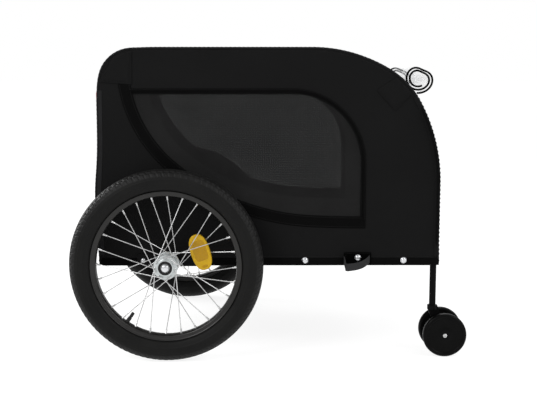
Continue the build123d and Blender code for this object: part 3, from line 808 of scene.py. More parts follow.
black_tape = grosgrain("black_tape", (0.0014, 0.0014, 0.0014))
cap_tape = grosgrain("cap_tape", (0.0008, 0.0008, 0.0008))
thread_grain = (1800, 3, 0.0001, 0.5)
thread = mottled("thread", (0.0075, 0.0075, 0.0078), 0.55, thread_grain, Specular_IOR_Level=0.20)
# Thread for the patch rows is darker than the rest: painted shade for the shadow lines along the
# patches' edges.
patch_thread_painted_shade = mottled("patch_thread_painted_shade", (0.0030, 0.0030, 0.0030), 0.6, thread_grain,
                      Specular_IOR_Level=0.10)
SILL_TAPE, TOP_TAPE, TAPE = 0.025, 0.010, 0.0013


def sill_edge(margin):
    """The sill tape's edge: from the window's front foot, along its sweep moved out by margin, and
    carried on up to the corner patch.
    """
    tape_top = 0.571 - 0.02 * margin
    sweep = resampled(window_sweep(margin, tape_top), 0.004)
    foot = [(WINDOW_FRONT + TOP_TAPE, WINDOW_BOTTOM - margin)]
    return resampled(np.concatenate([foot, sweep]), count=160)


inner, outer = sill_edge(0.0), sill_edge(SILL_TAPE)
cap_in, cap_out = (resampled(window_cap(margin), count=170) for margin in (-0.0005, TOP_TAPE))
cap_in[:, 0] = np.maximum(cap_in[:, 0], window_sweep(0.0)[-1][0])
cap_out[0] = (cap_in[0][0] - 0.002, WINDOW_TOP + TOP_TAPE)
sewn_on = {"right": [], "left": [], "wrap": [], "rear_door": [], "front_door": []}
for side, sign in SIDES:
    put, lifted, inside = on_side(sign), on_side(sign, 0.0004), on_side(sign, -CLOTH, -1)
    cap = strip(cap_in, cap_out, TAPE, lifted, ridge=0.0011)
    facing = [strip(inner, outer, 0.0008, inside), strip(cap_in, cap_out, 0.0010, inside)]
    rows = [stitches(inner + (outer - inner) * k, put, TAPE) for k in (0.12, 0.88)]
    rows += [stitches(cap_in + (cap_out - cap_in) * k, lifted, TAPE) for k in (0.14, 0.86)]
    sewn_on[side] += [
        piece(f"window_tape_{side}", strip(inner, outer, TAPE, put), black_tape),
        piece(f"window_edging_{side}", cap, cap_tape),
        piece(f"window_facing_{side}", joined(facing), black_tape),
        piece(f"window_stitches_{side}", joined(rows), thread),
    ]

# Corner patches: a second layer of the same cloth over each rear top corner, and a square one set
# point down where the roof bends, both sewn round their edges with a double row.
def patch(corners, thickness, put):
    """A sewn-on patch: bilinear between four corners, pressed down at its rim."""
    count, (a, b, c, d) = 14, np.array(corners)
    u, v = np.meshgrid(np.linspace(0, 1, count), np.linspace(0, 1, count), indexing="ij")
    to_rim = np.minimum(np.minimum(u, 1 - u), np.minimum(v, 1 - v))
    u, v = u[..., None], v[..., None]
    flat = a * (1 - u) * (1 - v) + b * u * (1 - v) + c * u * v + d * (1 - u) * v
    top = laid(put, flat, thickness * (0.55 + 0.45 * fade(to_rim, 0, 1 / 9)))
    under = laid(put, flat, -0.0008)
    n, faces = count * count, grid_faces(count, count)
    first, last = np.arange(count - 1), np.arange(n - 1, n - count, -1)
    rim = np.r_[first, np.arange(count - 1, n - 1, count), last, np.arange(n - count, 0, -count)]
    after = np.roll(rim, -1)
    wall = np.stack([rim, rim + n, after + n, after], -1)
    points = np.concatenate([top.reshape(-1, 3), under.reshape(-1, 3)])
    places = np.tile(flat.reshape(-1, 2), (2, 1))
    return points, np.concatenate([faces, faces[:, ::-1] + n, wall]), (), places


def rim_of(corners, inset):
    """The outline of a patch, drawn in towards its middle."""
    arm = corners - np.mean(corners, axis=0)
    inner = corners - arm * inset / np.linalg.norm(arm, axis=1)[:, None]
    sides = [resampled(inner[[k, (k + 1) % 4]], 0.004)[:-1] for k in range(4)]
    return np.concatenate([*sides, inner[:1]])


# Each patch's corners are measured from the axle and the floor.
PATCH, PATCH_ROW_LIFT, PATCH_ROWS = 0.0024, 0.0020, (0.006, 0.010)
patch_corners = [
    mm((-138.3, 574.5), (-70.0, 570.0), (-69.0, 638.5), (-106.2, 626.2)) + (AXLE_X, 0),
    mm((433, 558), (472, 516), (505.5, 550.5), (474, 584)) + (AXLE_X, 0),
]
for side, sign in SIDES:
    put = on_side(sign)
    layers = [patch(corners, PATCH, put) for corners in patch_corners]
    # The patch rows use the darker thread, which paints the shadow lines along the patch edges.
    rows = [stitches(rim_of(corners, inset), put, PATCH_ROW_LIFT)
            for corners in patch_corners for inset in PATCH_ROWS]
    sewn_on[side] += [piece(f"side_patches_{side}", joined(layers), cabin_cloth),
                      piece(f"patch_stitches_{side}", joined(rows), patch_thread_painted_shade)]


# Hem: a black band folded round the bottom rail, drawn tight over it, so it stands out as a half
# round along the foot of the cabin. A welt of the same cloth over a cord joins sides and wrap.
def swept(path, profile, up):
    """A section carried along a path: point + first number x up + second number x (up x tangent).

    up is turned square to the path at each point. Returns a grid of points.
    """
    ahead = unit(np.gradient(path, axis=0))
    up = np.broadcast_to(np.asarray(up, float), path.shape)
    up = unit(up - ahead * np.sum(up * ahead, axis=1)[:, None])
    across = np.cross(up, ahead)[:, None]
    return path[:, None] + profile[:, :1] * up[:, None] + profile[:, 1:] * across


def round_section(radius, count):
    """A round section."""
    return radius * np.stack([np.cos(circle(count)), np.sin(circle(count))], 1)


HEM_LOW, HEM_TOP, HEM_BULGE = bottom_z - 0.0004, 0.2078, 0.0030
hem_share = np.linspace(0, 1, 13)
hem_z = HEM_LOW + (HEM_TOP - HEM_LOW) * hem_share
hem_z = np.r_[hem_z, HEM_TOP, HEM_LOW]
hem_lift = HEM_BULGE * np.sqrt(np.clip(1 - (2 * hem_share - 1) ** 2, 0, 1))
hem_x = np.linspace(rear_x + 0.004, front_x - 0.0004, 240)[:, None]
tuck = 0.0003 * np.sin(hem_x * 2 * np.pi / 0.021) * np.sin(np.pi * hem_share)
hem_lift = np.concatenate([hem_lift + tuck, np.full((len(hem_x), 2), -0.0012)], 1)
hem_flat = np.stack(np.broadcast_arrays(hem_x, hem_z), -1)
hem_row = np.stack(np.broadcast_arrays(hem_x[:, 0], HEM_TOP + 0.003), 1)
hem_dark = grosgrain("hem_tape", (0.0011, 0.0011, 0.0011), 0.0012)
for side, sign in SIDES:
    put = on_side(sign)
    band = *capped(laid(put, hem_flat, hem_lift)), hem_flat
    sewn_on[side] += [piece(f"hem_{side}", band, hem_dark),
                      piece(f"hem_stitches_{side}", stitches(hem_row, put), thread)]

WELT, WELT_SINK, WELT_SEAM = 0.0024, 0.0021, 0.0085
welt_cloth = grosgrain("welt_cloth", (0.011, 0.011, 0.0115), 0.0030)
edge_binding = grosgrain("edge_binding", (0.0150, 0.0150, 0.0156), 0.0012)
s = np.arange(0.020, s_end - 0.006, 0.003)
flat, out = read_at(s, outline_at, outline), read_at(s, outline_at, outline_normal)
welt_x, welt_z = (flat - out * WELT_SINK).T
welt_x = welt_x - belly(welt_x, welt_z)
welt_up = np.stack([out[:, 0], 0 * s, out[:, 1]], 1)
girth = WELT * (1 + 0.09 * np.sin(s * 2 * np.pi / PUCKER_PITCH))[:, None, None]
welt_places = np.stack(np.broadcast_arrays(s[:, None], np.linspace(0, 0.015, 10)), -1)
for side, sign in SIDES:
    path = np.stack([welt_x, np.full(len(s), sign * (HALF_WIDTH - WELT_SINK)), welt_z], 1)
    grid = path[:, None] + (swept(path, round_section(1.0, 10), welt_up) - path[:, None]) * girth
    row = stitches((flat - out * WELT_SEAM)[6:-4], on_side(sign))
    sewn_on[side] += [piece(f"welt_{side}", (*capped(grid), welt_places), welt_cloth),
                      piece(f"edge_stitches_{side}", row, thread)]

# A paler binding tape 9 mm wide runs down the rear edge of each side. The front edge is turned
# under a strip of cabin cloth, which its stitches pucker every 9 mm.
rear_tape_z = np.arange(0.2135, 0.560, 0.004)
rear_tape = [np.stack([0 * rear_tape_z + rear_x + inset, rear_tape_z], 1) for inset in mm(3, 11.5)]
s = np.arange(at_height(0.548, FRONT_HALF), s_end - 0.018, 0.0015)
flat, out = read_at(s, outline_at, outline), read_at(s, outline_at, outline_normal)
crimp = 0.0015 * (0.5 + 0.5 * np.sin(s * 2 * np.pi / PUCKER_PITCH))[:, None]
front_tape = flat + out * (crimp - 0.0002), flat - out * (0.0105 + 0.4 * crimp)
for side, sign in SIDES:
    put = on_side(sign)
    sewn_on[side] += [
        piece(f"rear_edge_tape_{side}", strip(*rear_tape, 0.0010, put), edge_binding),
        piece(f"front_edge_tape_{side}", strip(*front_tape, 0.0012, put), cabin_cloth),
    ]

# The wrap: roof cloth from the rear seam over to the bend, a rear panel round its door, and a low
# front sill. The seams between them are lapped and double stitched.
REAR_SEAM_Z, SILL_HEIGHT = 0.572, 0.0378
s_roof_rear = at_height(REAR_SEAM_Z, REAR_HALF)
s_chin = at_height(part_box("roof_panel")[0][2], FRONT_HALF)
y = np.linspace(-1, 1, 60)
y = WRAP_HALF_WIDTH * (0.55 * y + 0.45 * np.sin(y * np.pi / 2))


def lengthwise(name, s, facing):
    """A panel of the wrap cut along its length: its cloth places run along it, then across it."""
    places = np.stack(np.meshgrid(s, y, indexing="ij"), -1)
    return cloth(name, lambda s, y, lift: on_wrap(y, s, lift), places, facing)


roof = lengthwise("cabin_roof", np.linspace(s_roof_rear, s_chin, 200), (-1, 0, 0.3))
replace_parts(roof, "roof_panel")


def loop_from(width, low, high, corner):
    """A rounded rectangle as a closed loop of (across, along) places."""
    quarter = np.radians(np.linspace(0, 90, 24))
    first, second = corner * np.cos(quarter), corner * np.sin(quarter)
    right, top, bottom = width / 2 - corner, high - corner, low + corner
    quarters = [(right + first, top + second), (-right - second, top + first),
                (-right - first, bottom - second), (right + second, bottom - first)]
    return np.concatenate([np.stack(quarter, 1) for quarter in quarters])


def box_corners(half, low, high):
    """The four corners of a plain rectangle."""
    return np.array([(-half, low), (half, low), (half, high), (-half, high)])


def grown(door, margin, **changes):
    """The sizes of a door or a window, moved out by margin."""
    sizes = dict(width=door["width"] + 2 * margin, low=door["low"] - margin,
                 high=door["high"] + margin)
    return {**door, **sizes, **changes}


REAR_DOOR = dict(width=0.330, low=0.226 - bottom_z, high=0.540 - bottom_z, corner=0.040)
DOOR_GAP, DOOR_BORDER = 0.005, 0.028
door_middle = np.array([0.0, (REAR_DOOR["low"] + REAR_DOOR["high"]) / 2])
rear_flat = ring(loop_from(**dict(REAR_DOOR, corner=0.036)),
                 box_corners(WRAP_HALF_WIDTH, 0.0005, s_roof_rear - 0.0004), door_middle, 14, 220,
                 box_corners(WRAP_HALF_WIDTH, 0.0005, s_roof_rear))
rear_panel = cloth("cabin_rear", on_wrap, rear_flat, (-1, 0, 0), closed=True)
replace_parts(rear_panel, "rear_panel")

sill_s = np.linspace(s_end - SILL_HEIGHT, s_end - 0.0004, 10)
sill_panel = lengthwise("cabin_front_sill", sill_s, (1, 0, 0))
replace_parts(sill_panel, "front_sill")


# Hems round the foot of the rear panel and the front sill, and the lapped roof seams.
def cross_line(s, half=WRAP_HALF_WIDTH - 0.004, count=60):
    """A line from side to side across the wrap, at a distance along it."""
    return np.stack(np.broadcast_arrays(np.linspace(-half, half, count), s), 1)


def cross_strip(s_low, s_high, thickness, ridge=0.0, **size):
    """A tape from side to side across the wrap, between two distances along it."""
    return strip(cross_line(s_low, **size), cross_line(s_high, **size), thickness, on_wrap, ridge)


HEM, HEM_RIDGE, LAP, EDGE_ROW = 0.0012, 0.0016, 0.0011, 0.2385
hems = [cross_strip(foot + 0.0002, foot + 0.017, HEM, HEM_RIDGE) for foot in (0, s_end - 0.0172)]
laps = [cross_strip(s_roof_rear - 0.002, s_roof_rear + 0.012, LAP),
        cross_strip(s_chin - 0.016, s_chin, LAP)]
lap_rows = s_roof_rear + 0.001, s_roof_rear + 0.009, s_chin - 0.013, s_chin - 0.004
seam_rows = [stitches(cross_line(at, 0.24, 120), on_wrap, LAP) for at in lap_rows]
seam_rows += [stitches(cross_line(at, 0.24, 120), on_wrap) for at in (0.0195, s_end - 0.0195)]
edge_s = np.arange(0.02, s_chin - 0.004, 0.006)
seam_rows += [stitches(np.stack(np.broadcast_arrays(edge, edge_s), 1), on_wrap)
              for edge in (-EDGE_ROW, EDGE_ROW)]
sewn_on["wrap"] += [piece("wrap_hems", joined(hems), hem_dark),
                    piece("roof_laps", joined(laps), cabin_cloth),
                    piece("wrap_stitches", joined(seam_rows), thread)]

# ------------------------------------------------------------------ end doors
# Both ends open on coil zips. The rear door is a flap that hangs from its top edge, and the front
# door is the whole front with a net window in it, hinged along its foot. Each half of a zip is
# a tape with its own row of coil, one on the cabin and one on the door.
def zip_teeth(line, put, way, offset):
    """One half of a coil zip: a low rounded lug every 3 mm, set across the line.

    A lug is six-sided rings at its root, its neck and its head, where it swells.
    """
    pitch, lift, flattened = 0.0030, 0.0010, 0.9
    at = travelled(line)
    places = read_at(np.arange(pitch / 2 + offset, at[-1], pitch), at, line)
    station = mm(-2.6, -0.4, 0.9)[:, None] * way
    girth = mm(0.50, 0.60, 0.85)[:, None]
    ahead, out = girth * np.cos(circle(6)), flattened * girth * np.sin(circle(6))
    return lugs(places, put, lift, np.stack([ahead, out, station + 0 * ahead], -1))


def offset_line(line, amount):
    """A line moved sideways in its own plane, square to itself."""
    ahead = unit(np.gradient(line, axis=0))
    return line + np.stack([-ahead[:, 1], ahead[:, 0]], 1) * amount


def u_line(width, low, high, corner, end_gap):
    """A door's free edge: down one side, along its low end with two round corners, and back up.

    It stops short of the hinge by a gap.
    """
    half, turn = width / 2, np.radians(np.linspace(0, 90, 20))
    side = np.linspace((-half, high - end_gap), (-half, low + corner), 50)
    first = np.stack([-half + corner * (1 - np.cos(turn)), low + corner * (1 - np.sin(turn))], 1)
    straight = np.linspace((-half + corner, low), (half - corner, low), 50)
    mirror = [-1, 1]
    return np.concatenate([side[:-1], first, straight[1:-1], first[::-1] * mirror,
                           side[::-1][1:] * mirror])


ZIP_BAND, ZIP_EDGES, ZIP_ROW, HALF_TOOTH = 0.0007, (0.0002, 0.0125), 0.0105, 0.0015
zip_tape = grosgrain("zip_tape", (0.0032, 0.0032, 0.0033), 0.0011)
zip_coil = mottled("zip_coil", (0.006, 0.006, 0.006), 0.38, (900, 3, 0.00008, 0.4),
                   Specular_IOR_Level=0.4)


def zipped(name, line, door_body):
    """Both halves of a zip along a line: two tapes, two rows of coil and their stitches, one half
    on the cabin and one on the door.
    """
    line = resampled(line, 0.003)
    made = {}
    for half, body, way, shift in (("cabin", "chassis", -1, 0), ("door", door_body, 1, HALF_TOOTH)):
        inner, outer, seam = (offset_line(line, way * k) for k in (*ZIP_EDGES, ZIP_ROW))
        band, coil = strip(inner, outer, ZIP_BAND, on_wrap), zip_teeth(line, on_wrap, way, shift)
        made[half] = [
            piece(f"{name}_tape_{half}", band, zip_tape, body),
            piece(f"{name}_coil_{half}", coil, zip_coil, body),
            piece(f"{name}_stitches_{half}", stitches(seam, on_wrap, ZIP_BAND), thread, body),
        ]
    return made


zip_metal = mottled("zip_metal", (0.035, 0.035, 0.036), 0.35, (700, 3, 0.00006, 0.4), Metallic=0.6)


def superellipse(length, width, power, count=96):
    """A rounded outline: half its size x the signed 2/power root of cos and sin."""
    c, s_ = np.cos(circle(count)), np.sin(circle(count))
    root = lambda value: np.sign(value) * np.abs(value) ** (2 / power)
    return np.stack([width / 2 * root(c), length / 2 * root(s_)], 1)


def stacked(base, first, second, out, levels):
    """A solid built up of flat outlines, each at its own height over a base."""
    base, first, second, out = (np.asarray(k, float) for k in (base, first, second, out))
    return capped(np.stack([base + out * height + flat[:, :1] * first + flat[:, 1:] * second
                            for height, flat in levels]))


def slider(name, place, ahead, out):
    """A zip slider: a rounded body with a small bail on it, and a flat pull that hangs from it."""
    ahead, out = unit(np.array([ahead, out], float))
    across = np.cross(ahead, out)

    def slab(length, width, heights, insets, shift, power):
        levels = [(height, superellipse(width - 2 * inset, length - 2 * inset, power, 24))
                  for height, inset in zip(heights, insets)]
        return stacked(np.array(place) + ahead * shift, ahead, across, out, levels)

    body = slab(0.0095, 0.0080, mm(0.4, 1, 3, 3.6), mm(0.8, 0, 0, 0.8), 0.0, 3)
    bail = slab(0.0050, 0.0022, mm(3, 4.8, 5.4), mm(0, 0, 0.6), 0.0, 2.2)
    pull = slab(0.0240, 0.0062, mm(4.4, 4.8, 5.6, 6), mm(0.6, 0, 0, 0.6), -0.0135, 4)
    return piece(name, joined([body, bail, pull]), zip_metal)


# Rear door: one flap of cabin cloth that bellies out 4 mm. Its top corners are cut rounder than
# the opening's, so that it swings up clear of the panel.
def belly_door(low, high, width, depth):
    """The door's lie: a shallow pillow that swells out between its edges."""

    def lie(across, along, lift):
        u_ = np.clip(1 - (2 * across / width) ** 2, 0, 1)
        v_ = np.clip(4 * (along - low) * (high - along) / (high - low) ** 2, 0, 1)
        ripple = 0.0007 * np.sin(33 * across + 21 * along) * u_ * v_
        return on_wrap(across, along, lift + depth * u_**0.7 * v_**0.7 + ripple)

    return lie


rear_free = grown(REAR_DOOR, -DOOR_GAP, corner=0.044)
rear_free["high"] = REAR_DOOR["high"] - 0.0010
rear_lie = belly_door(rear_free["low"], rear_free["high"], rear_free["width"], 0.0040)
rear_door = cloth("rear_door_flap", rear_lie, filled(loop_from(**rear_free), door_middle, 30),
                  (-1, 0, 0), "rear_flap", closed=True, hub=True)
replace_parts(rear_door, "rear_door")
rear_line = u_line(REAR_DOOR["width"] - DOOR_GAP, REAR_DOOR["low"] + DOOR_GAP / 2,
                   REAR_DOOR["high"], REAR_DOOR["corner"] - DOOR_GAP / 2, 0.012)
rear_zip = zipped("rear_zip", rear_line, "rear_flap")
HINGE_BAND, REAR_BAND_HALF, FRONT_BAND_HALF = 0.0010, 0.125, 0.20
band = cross_strip(REAR_DOOR["high"] - 0.010, REAR_DOOR["high"] + 0.009, HINGE_BAND,
                   half=REAR_BAND_HALF)
folds = ("chassis", "rear_flap", (rear_x, 0, 0.5405), (rear_x, 0, 0.5345))
sewn_on["wrap"] += [piece("rear_door_hinge_band", band, cabin_cloth, folds), *rear_zip["cabin"]]
sewn_on["rear_door"] += rear_zip["door"]
SLIDER_Y, SLIDER_Z = 0.1625, 0.300
for k, y_at in enumerate((-SLIDER_Y, SLIDER_Y)):
    at = on_wrap(y_at, SLIDER_Z - bottom_z, 0.0)
    sewn_on["wrap"].append(slider(f"rear_slider_{k + 1}", at, (0, 0, -1), (-1, 0, 0)))

# Front door: a border of cabin cloth, 28 mm wide, round a net window, along the curve of the front.
s_sill = s_end - 0.0380
FRONT = dict(width=2 * (WRAP_HALF_WIDTH - 0.0050), low=s_chin + DOOR_GAP, high=s_sill - 0.0010,
             corner=0.035)
front_middle = np.array([0.0, (FRONT["low"] + FRONT["high"]) / 2])
front_window = grown(FRONT, -DOOR_BORDER, corner=0.012)
front_window["high"] -= DOOR_GAP
front_lie = belly_door(FRONT["low"], FRONT["high"], FRONT["width"], 0.0030)
front_flat = ring(loop_from(**front_window), loop_from(**FRONT), front_middle, 12, 240)
front_door = cloth("front_door_border", front_lie, front_flat, (1, 0, 0), "front_flap", closed=True)
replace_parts(front_door, "front_door")
FRONT_NET_BACK, NET_LAP = -0.0014, 0.003
net_flat = filled(loop_from(**grown(front_window, NET_LAP)), front_middle, 24)
sheet = skin(laid(front_lie, net_flat, FRONT_NET_BACK), net_flat, closed=True, hub=True)
front_net = piece("front_door_net", sheet, window_net, "front_flap", (1, 0, 0.2))
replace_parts(front_net, "front_door_mesh")
edges = [loop_from(**grown(front_window, margin, corner=corner))
         for margin, corner in ((-0.002, 0.012), (0.011, 0.020))]
edge_in, edge_out = (np.concatenate([loop, loop[:1]]) for loop in edges)
rows = [stitches(edge_in + (edge_out - edge_in) * k, front_lie, TAPE) for k in (0.15, 0.85)]
binding = piece("front_window_tape", strip(edge_in, edge_out, TAPE, front_lie), black_tape,
                "front_flap")
sewn = piece("front_window_stitches", joined(rows), thread, "front_flap")
front_line = u_line(2 * WRAP_HALF_WIDTH - DOOR_GAP, s_chin + DOOR_GAP / 2, s_sill, 0.0375, 0.006)
front_zip = zipped("front_zip", front_line, "front_flap")
sewn_on["wrap"] += front_zip["cabin"]
sewn_on["front_door"] += [binding, sewn, *front_zip["door"]]
band = cross_strip(s_sill - 0.012, s_sill + 0.009, HINGE_BAND, half=FRONT_BAND_HALF)
folds = ("chassis", "front_flap", (front_x, 0, 0.2295), (front_x, 0, 0.2355))
sewn_on["wrap"].append(piece("front_door_hinge_band", band, cabin_cloth, folds))
PARKED_Y = 0.024
for k, y_at in enumerate((-PARKED_Y, PARKED_Y)):
    on_zip = s_chin + DOOR_GAP / 2
    steps = (0, 0), (0.01, 0), (0, 0.01)
    at, above, raised = (on_wrap(y_at, on_zip - up, out) for up, out in steps)
    sewn_on["wrap"].append(slider(f"front_slider_{k + 1}", at, above - at, raised - at))

# ------------------------------------------------------------------ floor, fittings and cover
# The floor is a stiff board in a sewn sleeve of woven cloth, laid on the rails. Its top is quilted
# down by two cross seams.
floor_cloth = weave("floor_cloth", (0.012, 0.012, 0.0125), 0.8, 0.10, pitch=0.0016, depth=0.0002)
board_low, board_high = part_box("floor_board")
board_size, board_middle = board_high - board_low, (board_high + board_low) / 2


def sleeve():
    """The sleeve: a superellipse plan carried through the board's thickness, with the top pillowed
    by a millimetre between its seams. Returns its points and their cloth places.
    """
    seam_pitch, square, rounded = 0.23, 2 / 0.06, 0.0012
    plan = superellipse(board_size[1], board_size[0], square, 200)
    share = np.r_[0.03, np.linspace(0.15, 0.97, 16), 1, 1, 0.97, np.linspace(0.85, 0.03, 8)]
    top, low = board_high[2], board_low[2] + 0.0002
    height = np.r_[np.full(17, top), top - rounded, low + rounded, np.full(9, low)][:, None]
    flat = share[:, None, None] * plan
    rise = rounded * np.abs(np.cos(flat[..., 0] * np.pi / seam_pitch)) * (1 - share[:, None] ** 6)
    z = height + rise * (np.arange(len(share)) < 17)[:, None]
    return np.concatenate([board_middle[:2] + flat, z[..., None]], -1), flat


points, flat = sleeve()
solid = (*capped(points), flat)
floor_sleeve = piece("floor_sleeve", solid, floor_cloth, "chassis")
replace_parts(floor_sleeve, "floor_board")

# Pan-head screws, zinc plated, hold the hem to the rail on both sides. Each has a socket in its
# domed head and a washer under it.
bright_zinc = mottled("bright_zinc", (0.72, 0.73, 0.74), 0.28, (1400, 3, 0.00003, 0.3),
                      (160, 4, 0.3, 0.7), [(0.62, 0.63, 0.65), (0.80, 0.81, 0.82)], (0.22, 0.36),
                      Metallic=1.0)


def pan_head(centre, axis):
    """A pan head: washer, a dome that falls as a half ellipse, and a round socket in it."""
    radius, height = 0.0060, 0.0032
    turn = np.radians(np.linspace(90, 18, 8))
    dome = np.stack([radius * 0.90 * np.cos(turn), 0.0010 + height * np.sin(turn)], 1)
    socket = (0.05, 2.8), (0.30, 2.8), (0.34, 3.8)
    washer = (0.92, 1.0), (1.06, 0.9), (1.10, 0.4), (1.06, -0.6), (0.05, -0.6)
    in_radii = [1000 * radius, 1]
    profile = [mm(*socket) * in_radii, dome[dome[:, 0] > radius * 0.36], mm(*washer) * in_radii]
    return turned_solid(np.concatenate(profile), centre, axis, 28)


SCREW_X, SCREW_Z = mm(-52, 64, 287, 494) + AXLE_X, 0.2032
LOOP_SCREW = (AXLE_X + 0.398, -HALF_WIDTH - 0.0042, 0.2090)
for side, sign in SIDES:
    seats = [(x, sign * (HALF_WIDTH + HEM_BULGE - 0.0002), SCREW_Z) for x in SCREW_X]
    seats += [LOOP_SCREW] if side == "right" else []
    screws = joined([pan_head(seat, (0, sign, 0)) for seat in seats])
    piece(f"hem_screws_{side}", screws, bright_zinc, "chassis", crease=50)


# A loop of grey webbing stands out from the right side under the window, for a flag or a strap.
# Its rear end drops square out of a black backing patch and its front end curves back to it.
def webbing(name, colour, gloss):
    """Woven webbing: a herringbone of ribs, slanted to and fro across the strap."""

    def slanted(made):
        along, across = made.cloth_axes()
        return made.wave(made.sums("ADD", along, made.sums("PINGPONG", across, 0.003)), 0.0024)

    return ribbed(name, colour, slanted, gloss, 0.7, 0.0003)


grey_webbing = webbing("grey_webbing", (0.026, 0.026, 0.027), 0.15)
# The backing is near black and almost without gloss: a black patch, painted darker still with the
# deep shade that the strap casts over it.
black_webbing_and_shade = webbing("black_webbing_and_shade", (0.0006, 0.0006, 0.0006), 0.02)


def strap_ribbon(path, width, thickness):
    """A strap on edge: a flat section with rounded edges, carried along a path."""
    share = np.array([-0.5, -0.47, -0.2, 0.2, 0.47, 0.5]) * width
    half = np.array([0.4, 1, 1, 1, 1, 0.4]) * thickness / 2
    section = np.concatenate([np.stack([share, half], 1), np.stack([share[::-1], -half], 1)])
    places = np.stack(np.broadcast_arrays(travelled(path)[:, None], section[:, 0]), -1)
    return *capped(swept(path, section, (0, 0, 1))), places


LOOP_REAR, LOOP_FRONT, LOOP_WIDTH, LOOP_THICKNESS = AXLE_X + 0.3695, AXLE_X + 0.4245, 0.0155, 0.0016


def loop_path():
    """The loop's middle line: straight out from its rear foot, round a tight corner, and back in a
    bow of 9.5 mm. It hangs 10.5 mm lower at its nose, and rises 2 mm from its rear foot to its
    front one.
    """
    reach, corner, foot = 0.0355, 0.004, -HALF_WIDTH + 0.0005
    bow, bow_way, foot_z, hang, rise = 0.0095, np.array([0.42, -0.9]), 0.2042, 0.0105, 0.0020
    nose_x, nose_y = LOOP_REAR + 0.001, -HALF_WIDTH - reach + corner
    out_leg = np.linspace((LOOP_REAR, foot), (nose_x, nose_y), 40)
    nose = arc((nose_x + corner, nose_y), corner, 270, 180, 10)
    back = np.linspace(0, 1, 50)[:, None]
    back_leg = nose[-1] + (np.array([LOOP_FRONT, foot]) - nose[-1]) * back
    back_leg = back_leg + bow * bow_way * np.sin(np.pi * back)
    plan = np.concatenate([out_leg[:-1], nose, back_leg[1:]])
    away = np.abs(plan[:, 1] + HALF_WIDTH) / reach
    forward = (plan[:, 0] - LOOP_REAR) / (LOOP_FRONT - LOOP_REAR)
    return np.c_[plan, foot_z - hang * away + rise * forward]


strap = strap_ribbon(loop_path(), LOOP_WIDTH, LOOP_THICKNESS)
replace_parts(piece("loop_strap", strap, grey_webbing, "chassis"), "webbing_loop")
BACKING, BACKING_HALF, BACKING_LOW, BACKING_HIGH = 0.0010, 0.02825, 0.1948, 0.2195
backing_middle = (LOOP_REAR + LOOP_FRONT) / 2 + 0.00025
backing = box_corners(BACKING_HALF, BACKING_LOW, BACKING_HIGH) + (backing_middle, 0)
raised = on_side(-1, HEM_BULGE + 0.0001)
# The backing's near black is partly the strap's shade, painted onto it.
piece("loop_backing", patch(backing, BACKING, raised), black_webbing_and_shade, "chassis")
row = stitches(rim_of(backing, 0.004), raised, 0.0008)
piece("loop_stitches", row, thread, "chassis")


# Rear reflectors: red prismatic lenses in black trays, screwed to the rear panel's upper corners.
def prism_lens(name, colour, cell, gloss=0.6):
    """Moulded reflector plastic: rows of small corner-cube prisms under a smooth skin."""
    made = Finish(name, colour, 0.26, Specular_IOR_Level=gloss, Coat_Weight=0.10,
                  Coat_Roughness=0.08)
    facet = made.cells(cell, made.place(), distance="MANHATTAN")
    made.colour(made.ramp(facet, 0.1, 0.8), *tones(colour, 1.25, 0.72))
    made.bump(facet, 0.0006, 0.6)
    return made.material


def lens(rim, base, out, up, heights, insets):
    """A moulded lens: its rim carried out through heights, drawn in to the middle by insets."""
    reach = np.linalg.norm(rim, axis=1)[:, None]
    levels = [(height, rim * (1 - inset / reach)) for height, inset in zip(heights, insets)]
    return stacked(base, np.cross(up, out), up, out, levels)


red_lens = prism_lens("red_lens", (0.42, 0.012, 0.010), 0.0032)
tray_black = mottled("tray_black", (0.006, 0.006, 0.006), 0.45, (700, 3, 0.0001, 0.5),
                     Specular_IOR_Level=0.35)
reflector_low, reflector_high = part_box("rear_reflectors")
REFLECTOR_Y = 0.200
oval = loop_from(0.050, -0.010, 0.010, 0.0066)
bases = [(reflector_high[0] - 0.0002, y_at, (reflector_low[2] + reflector_high[2]) / 2)
         for y_at in (-REFLECTOR_Y, REFLECTOR_Y)]
rearwards, upwards = (-1, 0, 0), (0, 0, 1)
trays = [lens(oval, base, rearwards, upwards, mm(0, 3, 3.8), mm(0.4, 0, 0.8)) for base in bases]
lenses = [lens(oval, base, rearwards, upwards, mm(3, 4, 4.6, 4.9), mm(1.4, 1.4, 2, 4.5))
          for base in bases]
piece("rear_reflector_trays", joined(trays), tray_black, "chassis")
red = piece("rear_reflector_lenses", joined(lenses), red_lens, "chassis")
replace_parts(red, "rear_reflectors")

# Rain cover: clear film with black binding sewn on its ends, rolled up loosely above the front
# door and held by two ties of the same film.
roll_low, roll_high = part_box("rain_cover")
roll_x, _, roll_z = (roll_low + roll_high) / 2
roll_half = (roll_high[1] - roll_low[1]) / 2
film = Finish("clear_film", (0.92, 0.93, 0.94), 0.20, Specular_IOR_Level=0.4)
crumple = film.noise(55.0, 4.0)
film.drive("Alpha", film.ramp(crumple, 0.35, 0.65), 0.09, 0.20)
film.drive("Roughness", film.ramp(crumple, 0.35, 0.65), 0.12, 0.42)
film.colour(film.ramp(crumple, 0.38, 0.64), (0.80, 0.81, 0.82), (0.95, 0.96, 0.97))
film.bump(crumple, 0.0022, 0.6)
ROLL_TURNS, ROLL_START = 3.4, 1.71
cover_tape = grosgrain("cover_tape", (0.0011, 0.0011, 0.0011), 0.0012)


def roll_radius(turn, along):
    """The roll's radius at a turn of its spiral. It keeps 28 mm for most of a turn, and steps in by
    7.0 mm in the quarter that is pressed on the roof. Its top is flattened by 6 mm, and its inner
    turns crumple.
    """
    whole, share = np.divmod(turn, 1.0)
    step = fade(share, 0.68, 0.32)
    outer = 0.0284 - 0.0070 * (whole + step**2 * (3 - 2 * step))
    flattened = 0.0060 * np.clip(1 - 0.35 * whole, 0, 1) * bell(share, 0.465, 0.105)
    crush = 0.0010 * np.clip(turn - 2.1, 0, 1.2) * np.sin(2 * np.pi * turn * 5.3 + 30 * along)
    slack = 0.0005 * np.sin(2 * np.pi * turn * 3 + 19 * along)
    return outer - flattened + crush + slack


